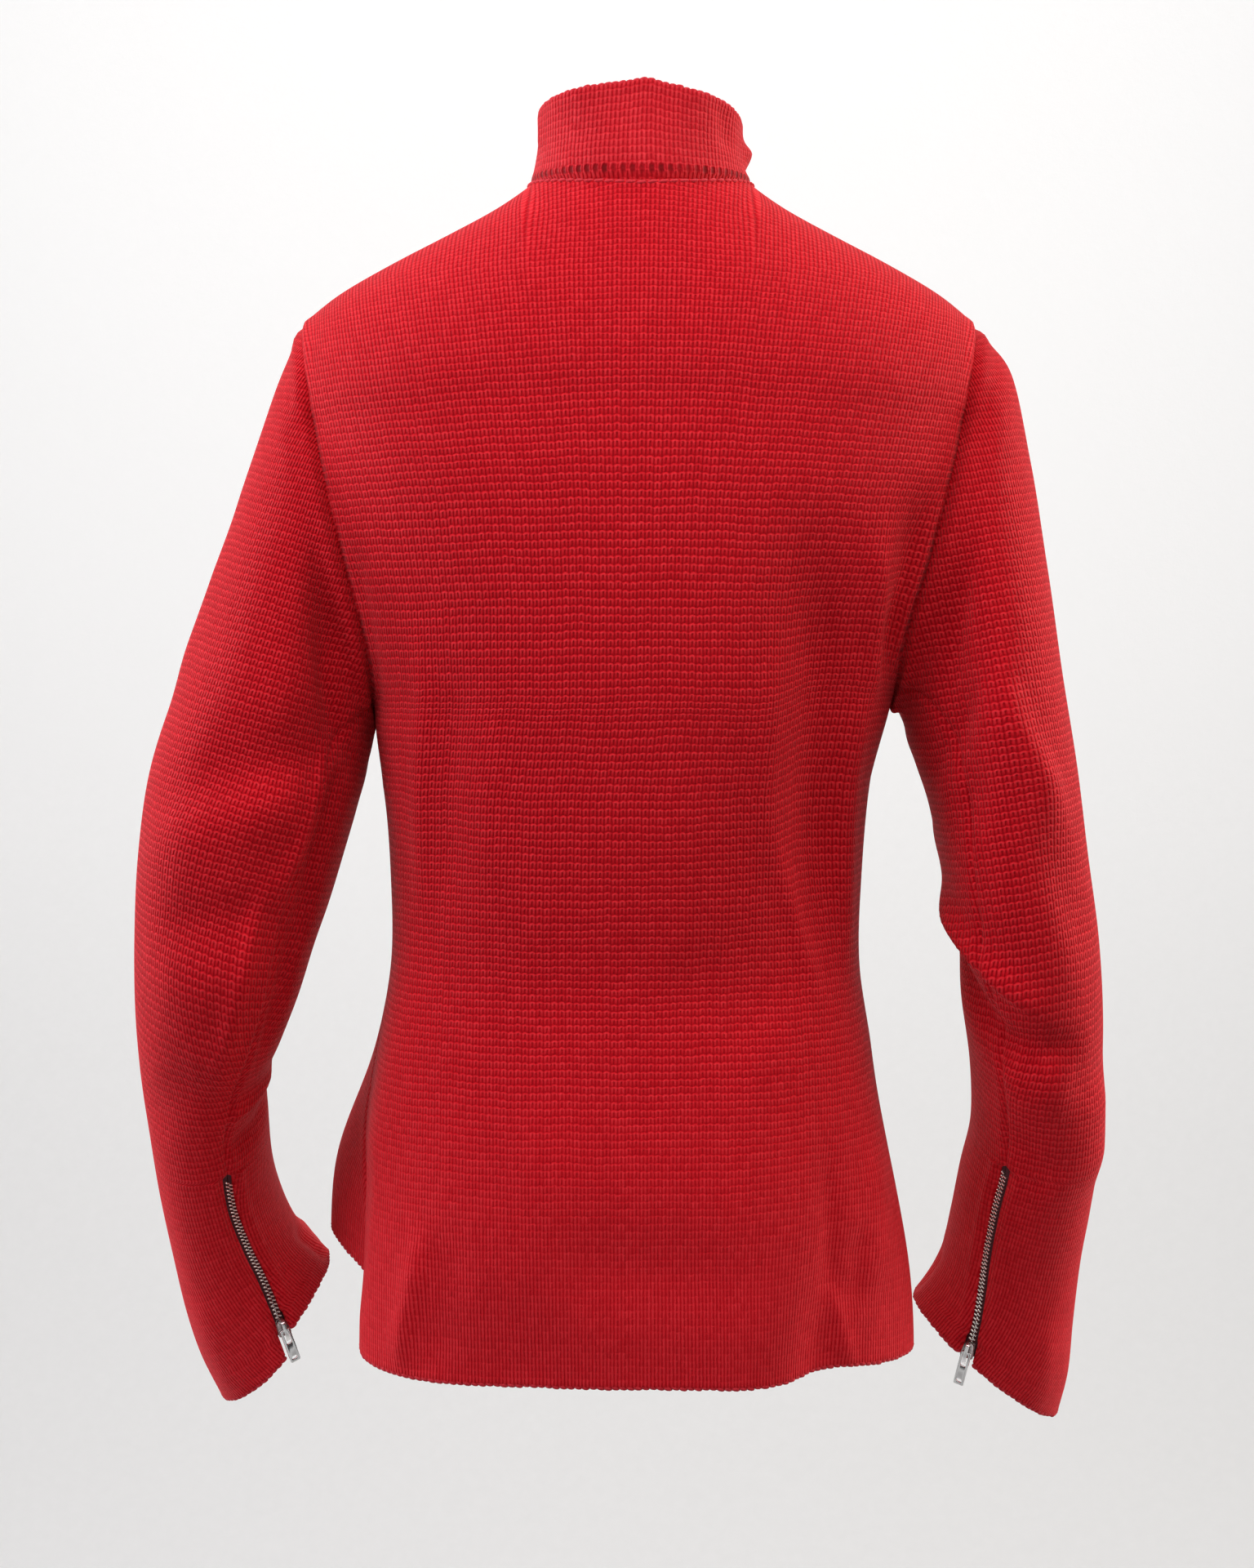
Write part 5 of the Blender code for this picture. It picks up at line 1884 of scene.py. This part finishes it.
@dataclass(frozen=True)
class TapeFinish(Finish):
    """The zip's woven tape, in a maroon twill."""

    name: str = "maroon_zip_tape"
    valley: Triple = (0.030, 0.002, 0.005)
    thread: Triple = (0.10, 0.006, 0.014)
    pitch: float = 0.7
    turn_every: float = 9.0  # how far the twill climbs one way before it turns

    def make(self) -> Material:
        """Builds the material."""
        material, g, shader = self.start(self.name, Roughness=0.8)
        scale = math.pi / self.pitch
        across, up, _ = g.split(g.stretch(g.knitting(), (scale, scale, 1)))
        ribs = g.size(g.math("SINE", g.sum(up, g.math("PINGPONG", across, self.turn_every))))
        threads = g.size(g.math("SINE", across))
        fuzz = g.noise(g.place(), 2500, 2, 0.6).outputs[0]
        height = g.sum(g.times(ribs, g.math("POWER", threads, 0.5)), g.times(fuzz, 0.2))
        # The tape is one maroon yarn: its darker valleys between threads are painted shade and its lighter
        # thread tops a painted highlight.
        g.feed(shader.inputs["Base Color"], g.ramp(height, ((0.1, self.valley), (0.9, self.thread))))
        g.feed(shader.inputs["Normal"], g.bump(height, 0.0002))
        return material


@dataclass(frozen=True)
class MetalFinish(Finish):
    """A metal, with its grain and its wear."""

    name: str
    color: Triple
    worn: Triple
    roughness: Pair
    relief: float
    nicks: float

    def make(self, grain: Tree) -> Material:
        """Builds the material."""
        material, g, shader = self.start(self.name, Metallic=1.0)
        lines = self.use(g, grain, Place=g.place(), Nicks=self.nicks)
        wear = lines.outputs["Wear"]
        g.feed(shader.inputs["Base Color"], g.ramp(wear, ((0.15, self.color), (0.75, self.worn))))
        g.feed(shader.inputs["Roughness"], g.smooth(wear, 0.1, 0.8, *self.roughness))
        g.feed(shader.inputs["Normal"], g.bump(lines.outputs["Height"], self.relief))
        return material


# The collar's knit, with a painted highlight on its stitch crowns and painted shade in the holes of its
# picked-up row.
COLLAR_KNIT = KnitFinish(
    "red_cashmere_collar_knit", main=(0.62, 0.007, 0.016), crown_painted_highlight=(0.73, 0.034, 0.046),
    slit=0.66, line=0.38, rib=0.46, picked_up=81.2, sheen=0.20,
)
# The slider's dark steel tone is its own; its red tint is a painted reflection of the red knit.
STEEL = MetalFinish("dark_steel_red_reflection", (0.30, 0.24, 0.24), (0.52, 0.47, 0.46), (0.16, 0.34), 0.00003, 0.6)
# The teeth's brushed grain and wear are their own; their pink tint is a painted reflection of the red knit.
TEETH = MetalFinish("brushed_steel_red_reflection", (0.72, 0.62, 0.57), (0.94, 0.86, 0.80), (0.22, 0.38), 0.00003, 0.5)
CHROME = MetalFinish("polished_chrome", (0.88, 0.87, 0.87), (0.95, 0.94, 0.93), (0.10, 0.24), 0.000008, 0.25)


# ---------------- the studio


class Softbox(NamedTuple):
    """A soft box, with its sizes in metres and its power in watts."""

    name: str
    at: Triple
    target: Triple
    width: float
    height: float
    power: float
    color: Triple
    lights_cloth: bool = True  # or else only its reflection is seen


CHEST = (0, 0, -0.1)
MIDDLE = (0, 0, -0.2)
SOFTBOXES = (
    Softbox("key", (0.15, 0.9, 1.2), CHEST, 1.8, 1.0, 20, (1.0, 0.98, 0.97)),
    Softbox("front", (0.2, 1.9, 0.9), CHEST, 1.2, 1.0, 1.5, (1.0, 0.98, 0.97)),
    Softbox("card", (0.0, 3.6, -0.3), MIDDLE, 3.4, 2.6, 38, (1.0, 1.0, 1.0), False),
    Softbox("left", (1.9, 0.9, 0.9), MIDDLE, 0.9, 1.4, 33, (0.92, 0.93, 1.0)),
    Softbox("right", (-1.9, 0.6, 0.9), MIDDLE, 0.9, 1.4, 26, (1.0, 0.93, 0.80)),
    Softbox("left_rim", (1.9, -0.6, 0.2), MIDDLE, 0.6, 1.6, 24, (1.0, 0.95, 1.0)),
    Softbox("right_rim", (-1.9, -0.6, 0.2), MIDDLE, 0.6, 1.6, 26, (1.0, 0.95, 0.86)),
)


@dataclass
class Studio:
    """The camera, the pale backdrop and the soft lights."""

    camera_at: Triple = (0.008, 1.5, -0.208)
    lens: float = 59.84
    shift: float = -0.1458
    wall_y: float = -2.6
    floor_z: float = -1.85
    floor_far: float = 6.0
    wall_half: float = 6.0
    wall_top: float = 4.5
    wall_color: Triple = (0.55, 0.55, 0.55)
    bend: float = 1.2
    sky: Triple = (1.0, 1.0, 1.0)
    sky_strength: float = 0.04
    glow: Pair = (0.335, 0.715)  # painted light: how much the wall glows, at the floor and high up
    glow_top: float = 1.7
    far_glow: Triple = (1.4, 4.0, 0.43)  # painted light: the far floor's glow, from, to and how much
    surround: float = 0.53  # how pale the empty side of the studio looks

    def camera(self) -> None:
        """The camera, behind the wearer, level with the chest."""
        data = bpy.data.cameras.new("camera")
        data.sensor_fit, data.sensor_width = "AUTO", 36.0
        data.lens, data.shift_y = self.lens, self.shift
        eye = into_scene("camera", data)
        eye.location = self.camera_at
        eye.rotation_euler = (math.radians(90), 0, math.radians(180))
        bpy.context.scene.camera = eye

    def backdrop(self) -> Piece:
        """A wall that bends into the floor. Its paper glows as painted light, more high up and on the far
        floor.
        """
        steps = 12
        line = [(self.floor_far, self.floor_z)]
        for step in range(steps + 1):
            turn = math.pi / 2 * step / steps
            y = self.wall_y + self.bend * (1 - math.sin(turn))
            line.append((y, self.floor_z + self.bend * (1 - math.cos(turn))))
        line.append((self.wall_y, self.wall_top))
        mesh = bmesh.new()
        sides = [[mesh.verts.new((x, y, z)) for y, z in line] for x in (-self.wall_half, self.wall_half)]
        for n in range(len(line) - 1):
            mesh.faces.new((sides[0][n], sides[1][n], sides[1][n + 1], sides[0][n + 1]))
        for face in mesh.faces:
            face.smooth = True
        data = bpy.data.meshes.new("backdrop")
        mesh.to_mesh(data)
        mesh.free()
        wall = into_scene("backdrop", data)
        material, g, shader = Finish().start("pale_paper", Roughness=0.95, Emission_Color=(1.0, 1.0, 1.0))
        where = g.place()
        tooth = g.noise(where, 60, 4, 0.6).outputs[0]
        stops = ((0.3, tuple(c * 0.97 for c in self.wall_color)), (0.7, self.wall_color))
        g.feed(shader.inputs["Base Color"], g.ramp(tooth, stops))
        g.feed(shader.inputs["Normal"], g.bump(tooth, 0.0006))
        x, y, z = g.split(where)
        # Painted light: the paper's glow rises up the wall, and the far floor glows too.
        glow = g.smooth(z, self.floor_z, self.glow_top, *self.glow)
        glow = g.times(glow, g.smooth(y, self.wall_y + self.bend, 0.0, 1.0, 0.0))
        near, far, most = self.far_glow
        away = g.math("MAXIMUM", g.size(x), y)
        glow = g.math("MAXIMUM", glow, g.smooth(away, near, far, 0.0, most))
        g.feed(shader.inputs["Emission Strength"], glow)
        data.materials.append(material)
        return wall

    @staticmethod
    def light(box: Softbox) -> Piece:
        """A soft box at its place, turned to its target."""
        data = bpy.data.lights.new(box.name, "AREA")
        data.shape, data.size, data.size_y = "RECTANGLE", box.width, box.height
        data.energy, data.color = box.power, box.color
        lamp = into_scene(box.name, data)
        lamp.location = box.at
        lamp.rotation_euler = (Vector(box.target) - Vector(box.at)).to_track_quat("-Z", "Y").to_euler()
        lamp.visible_diffuse = box.lights_cloth
        return lamp

    def build(self) -> None:
        """Sets everything up."""
        self.camera()
        self.backdrop()
        for box in SOFTBOXES:
            self.light(box)
        world = bpy.context.scene.world or bpy.data.worlds.new("studio")
        bpy.context.scene.world = world
        world.use_nodes = True
        g = Graph(world.node_tree)
        sky = world.node_tree.nodes["Background"]
        sky.inputs["Color"].default_value = (*self.sky, 1.0)
        seen = g.node("ShaderNodeLightPath").outputs["Is Camera Ray"]
        g.feed(sky.inputs["Strength"], g.smooth(seen, 0.0, 1.0, self.sky_strength, self.surround))
        bpy.context.scene.view_settings.view_transform = "Standard"


# ---------------- the whole sweater


class Cut(NamedTuple):
    """What a piece of cloth was cut to, in metres and square metres."""

    width: float
    length: float
    area: float


class Held(Enum):
    """How a piece of cloth is held."""

    HUNG = "hung"
    STRETCHED = "stretched"


@dataclass
class Sweater:
    """The garment, from its cloth to its zips."""

    torso: Torso
    collar: Collar
    sleeves: dict[Side, Sleeve]
    edging: Edging = field(default_factory=Edging)
    knit: Material = field(init=False)
    collar_knit: Material = field(init=False)
    yarn: Material = field(init=False)
    tape: Material = field(init=False)
    steel: Material = field(init=False)
    brushed: Material = field(init=False)
    chrome: Material = field(init=False)

    def dress(
        self, piece: Piece, material: Material, slot: str, body: str = "garment",
        stands_for: Sequence[str] = (),
    ) -> Piece:
        """Gives a piece its finish and its place in the frame."""
        piece.data.materials.clear()
        piece.data.materials.append(material)
        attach(piece, body)
        if stands_for:
            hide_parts(*stands_for)
        triangles = sum(len(face.vertices) - 2 for face in piece.data.polygons)
        log.info("%s: %d triangles on %s", piece.name, triangles, body)
        return piece

    def finishes(self) -> None:
        """Makes the materials."""
        stitches = Stitches().make()
        self.knit = KnitFinish().make(stitches)
        self.collar_knit = COLLAR_KNIT.make(stitches)
        self.yarn = YarnFinish().make()
        self.tape = TapeFinish().make()
        grain = grain_group()
        self.steel, self.brushed, self.chrome = STEEL.make(grain), TEETH.make(grain), CHROME.make(grain)

    def fold(self) -> None:
        """Creases the cloth, and agrees the directions of the walls along the seams."""
        cloths = [*self.torso.cloths.values(), self.collar.cloth, *(s.cloth for s in self.sleeves.values())]
        share_normals(cloths)
        self.torso.crease()
        self.collar.crease()
        for sleeve in self.sleeves.values():
            sleeve.crease()
        share_normals(cloths)
        for sleeve in self.sleeves.values():
            sleeve.open_slot()
        share_normals(cloths)

    def cloth(self) -> None:
        """Builds the knitted pieces."""
        sewn = {
            "back_panel": (self.torso.cloths["back"], CUTS["back_panel"]),
            "front_panel": (self.torso.cloths["front"], CUTS["front_panel"]),
            "collar": (self.collar.cloth, CUTS["collar"]),
        }
        for side, sleeve in self.sleeves.items():
            sewn[f"sleeve_{side.value}"] = (sleeve.cloth, CUTS["sleeve"])
        for node, (cloth, cut) in sewn.items():
            finish = self.collar_knit if node == "collar" else self.knit
            piece = self.dress(cloth.build(), finish, "red_knit", stands_for=(node,))
            self.declare(piece, cut, Held.HUNG)

    @staticmethod
    def declare(piece: Piece, cut: Cut, held: Held) -> None:
        """Takes what a piece of cloth was cut to and how it is held, and does nothing with them."""

    def edges(self) -> None:
        """Builds the cast-off edges and the neck's chain."""
        edging, torso = self.edging, self.torso
        free = [
            (torso.cloths["back"], Edge.LOW, "back_hem_loops"),
            (torso.cloths["front"], Edge.LOW, "front_hem_loops"),
            (self.collar.cloth, Edge.HIGH, "collar_top_loops"),
        ]
        free += [(s.cloth, Edge.HIGH, f"cuff_loops_{side.value}") for side, s in self.sleeves.items()]
        for cloth, edge, name in free:
            self.dress(edging.cast_off(cloth, edge, name), self.yarn, "red_knit")
        for name, cloth in torso.cloths.items():
            chain = edging.chain(cloth, torso.form.neck_share, torso.columns, f"neck_chain_{name}")
            self.dress(chain, self.yarn, "red_knit")

    def zips(self) -> None:
        """Builds both zips."""
        for side, sleeve in self.sleeves.items():
            cuff, name = CuffZip(sleeve), side.value
            self.dress(cuff.teeth(), self.brushed, "dark_steel", stands_for=(f"teeth_{name}",))
            for edge, letter in ((Edge.FIRST, "a"), (Edge.LAST, "b")):
                node = f"tape_{name}_{letter}"
                tape = self.dress(cuff.tape(edge), self.tape, "zip_tape", stands_for=(node,))
                self.declare(tape, CUTS["tape"], Held.STRETCHED)
            at_slider, slider, pull = cuff.slider_place(), f"slider_{name}", f"pull_{name}"
            hard = (
                (cuff.slider(), at_slider, f"{slider}_metal", self.steel, "dark_steel", "garment", (slider,)),
                (cuff.lug(), at_slider, f"{slider}_lug", self.chrome, "bright_chrome"),
                (cuff.pull(), cuff.pull_place(), f"{pull}_metal", self.chrome, "bright_chrome", pull, (pull,)),
            )
            for piece, place, label, *said in hard:
                Bench.set_down(piece, place)
                piece.name = label
                self.dress(piece, *said)


BACK_CREASES = (
    Crease((124, 430), (119, 225), 9, 3.2, 0.3),
    Crease((103, 410), (99, 235), 9, -2.2),
    Crease((79, 375), (73, 245), 10, 1.8),
    Crease((-94, 500), (-118, 190), 23, -14.0, 0.0, 3),
    Crease((165, 168), (-165, 168), 58, 3.5),
    Crease((190, -14), (-190, -18), 62, -10.0),
    Crease((120, 258), (-90, 258), 62, 8.0),
    Crease((-73, 410), (-82, 262), 9, 2.2, 0.3),
    Crease((-79, 300), (-116, 185), 8, 3.4, -0.3),
    Crease((-139, 395), (-141, 195), 9, 3.0),
    Crease((-162, 505), (-160, 362), 13, -8.0),
    Crease((-136, 480), (-149, 345), 8, 3.6, 0.3),
    Crease((168, 470), (176, 360), 11, -4.0),
    Crease((70, 66), (-112, 54), 27, -5.0),
    Crease((-20, 235), (-88, 175), 30, -2.2),
    Crease((-112, 135), (-128, 4), 8, -4.0),
    Crease((-152, 125), (-158, 30), 14, 3.4),
    Crease((-139, 80), (-140, 22), 8, -3.0),
    Crease((-120, 52), (-139, -8), 7, 3.4, 0.4),
    Crease((112, 84), (135, -10), 9, 4.2, 0.4),
    Crease((96, 92), (108, -8), 13, -2.6),
    Crease((168, 120), (176, 10), 13, -3.0),
    Crease((40, 160), (44, 20), 18, 1.6),
)
FRONT_CREASES = (
    Crease((-92, 430), (-112, 120), 18, 3.4, 0.2),
    Crease((-68, 405), (-80, 150), 15, -3.0),
    Crease((101, 420), (119, 95), 16, 3.8, -0.2),
    Crease((74, 380), (92, 118), 13, -2.8),
    Crease((-64, 238), (72, 222), 17, -2.6),
    Crease((152, 475), (88, 372), 12, -4.0, 0.3),
    Crease((-154, 470), (-82, 380), 13, -3.6, -0.3),
    Crease((-140, 440), (-60, 352), 12, 2.6),
    Crease((42, 118), (49, -8), 15, -3.2),
    Crease((-2, 104), (-5, -8), 14, 2.4),
    Crease((-146, 120), (-152, -8), 11, -3.6),
    Crease((12, 470), (6, 330), 24, 1.8),
)
LEFT_CREASES = (
    Crease((214, 474), (42, 302), 17, -6.0, -0.2, 3),
    Crease((172, 404), (24, 276), 17, 4.6, 0.2, 3),
    Crease((150, 318), (44, 258), 15, -3.6, 0.2),
    Crease((140, 278), (34, 228), 18, 2.2),
    Crease((182, 452), (126, 296), 7, 3.6, 0.3),
    Crease((133, 338), (84, 180), 7, 3.8, 0.3),
    Crease((-276, 452), (-220, 292), 8, -4.6),
    Crease((-238, 345), (-176, 190), 8, -4.6),
    Crease((-122, 186), (-190, 164), 8, 3.6, -0.5),
    Crease((-118, 160), (-188, 142), 9, -4.0),
    Crease((84, 214), (30, 150), 15, -2.6),
    Crease((-52, 322), (-162, 378), 14, 5.2, 0.3),
    Crease((-56, 300), (-170, 350), 12, -5.4),
    Crease((-66, 244), (-146, 282), 11, -4.0, 0.2),
    Crease((-40, 190), (-110, 216), 12, 3.4),
    Crease((-90, 470), (-60, 380), 17, -2.4),
    Crease((20, 440), (10, 350), 18, 2.2),
    Crease((150, 570), (192, 425), 34, -10.0),
    Crease((-124, 52), (-150, -10), 7, -4.0),
    Crease((-98, 46), (-116, -10), 9, 4.0),
    Crease((40, 60), (46, -14), 12, 2.0),
)
RIGHT_CREASES = (
    Crease((114, 448), (44, 316), 13, 5.4, 0.3),
    Crease((152, 462), (110, 342), 14, -4.4),
    Crease((80, 350), (34, 268), 15, -2.6),
    Crease((176, 322), (66, 236), 10, 8.0, -0.6),
    Crease((176, 280), (84, 214), 13, -9.0, 0.2),
    Crease((112, 230), (44, 226), 11, -4.4, 0.2),
    Crease((104, 197), (48, 203), 17, 3.0),
    Crease((32, 212), (28, 126), 20, 4.2),
    Crease((96, 172), (54, 140), 13, -2.4),
    Crease((-48, 288), (-124, 322), 13, 4.6, 0.3),
    Crease((-42, 262), (-118, 294), 11, -5.4),
    Crease((-58, 222), (-114, 252), 11, -3.4, 0.2),
    Crease((-40, 190), (-96, 208), 12, 3.2),
    Crease((-84, 452), (-56, 362), 16, -2.8),
    Crease((-120, 420), (-150, 330), 14, 2.6),
    Crease((168, 530), (142, 396), 28, -7.0),
    Crease((-126, 54), (-152, -10), 7, -4.0),
    Crease((-100, 46), (-118, -10), 9, 4.0),
    Crease((44, 60), (50, -14), 12, 2.0),
)
COLLAR_CREASES = (
    Crease((-134, 27), (-80, 25), 7.5, 4.6),
    Crease((-128, 12), (-84, 12), 6, -1.4),
    Crease((78, 22), (132, 24), 11, -2.2),
    Crease((68, 52), (62, 18), 7, 1.8),
    Crease((-58, 52), (-66, 14), 6, -2.0),
    Crease((-40, 40), (30, 44), 9, -1.2),
    Crease((-30, 12), (52, 14), 8, 1.0),
    Crease((170, 40), (196, 12), 10, 2.0),
    Crease((250, 38), (228, 10), 9, -2.2),
)


CUTS = {
    "back_panel": Cut(0.51, 0.715, 0.265),
    "front_panel": Cut(0.55, 0.715, 0.268),
    "collar": Cut(0.44, 0.058, 0.021),
    "sleeve": Cut(0.546, 0.65, 0.162),
    "tape": Cut(0.014, 0.118, 0.0016),
}


def main() -> None:
    """Builds the studio and the sweater, and reports each piece."""
    logging.basicConfig(level=logging.INFO, format="%(message)s", stream=sys.stdout)
    Studio().build()
    torso = Torso(BodyForm(), back_creases=BACK_CREASES, front_creases=FRONT_CREASES)
    sleeves = {
        Side.LEFT: Sleeve(Side.LEFT, torso, 10.45, LEFT_CREASES, hem_drop=9.0),
        Side.RIGHT: Sleeve(Side.RIGHT, torso, 10.15, RIGHT_CREASES),
    }
    sweater = Sweater(torso, Collar(torso, creases=COLLAR_CREASES), sleeves)
    sweater.finishes()
    sweater.fold()
    sweater.cloth()
    sweater.edges()
    sweater.zips()
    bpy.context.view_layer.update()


if __name__ == "__main__":
    main()
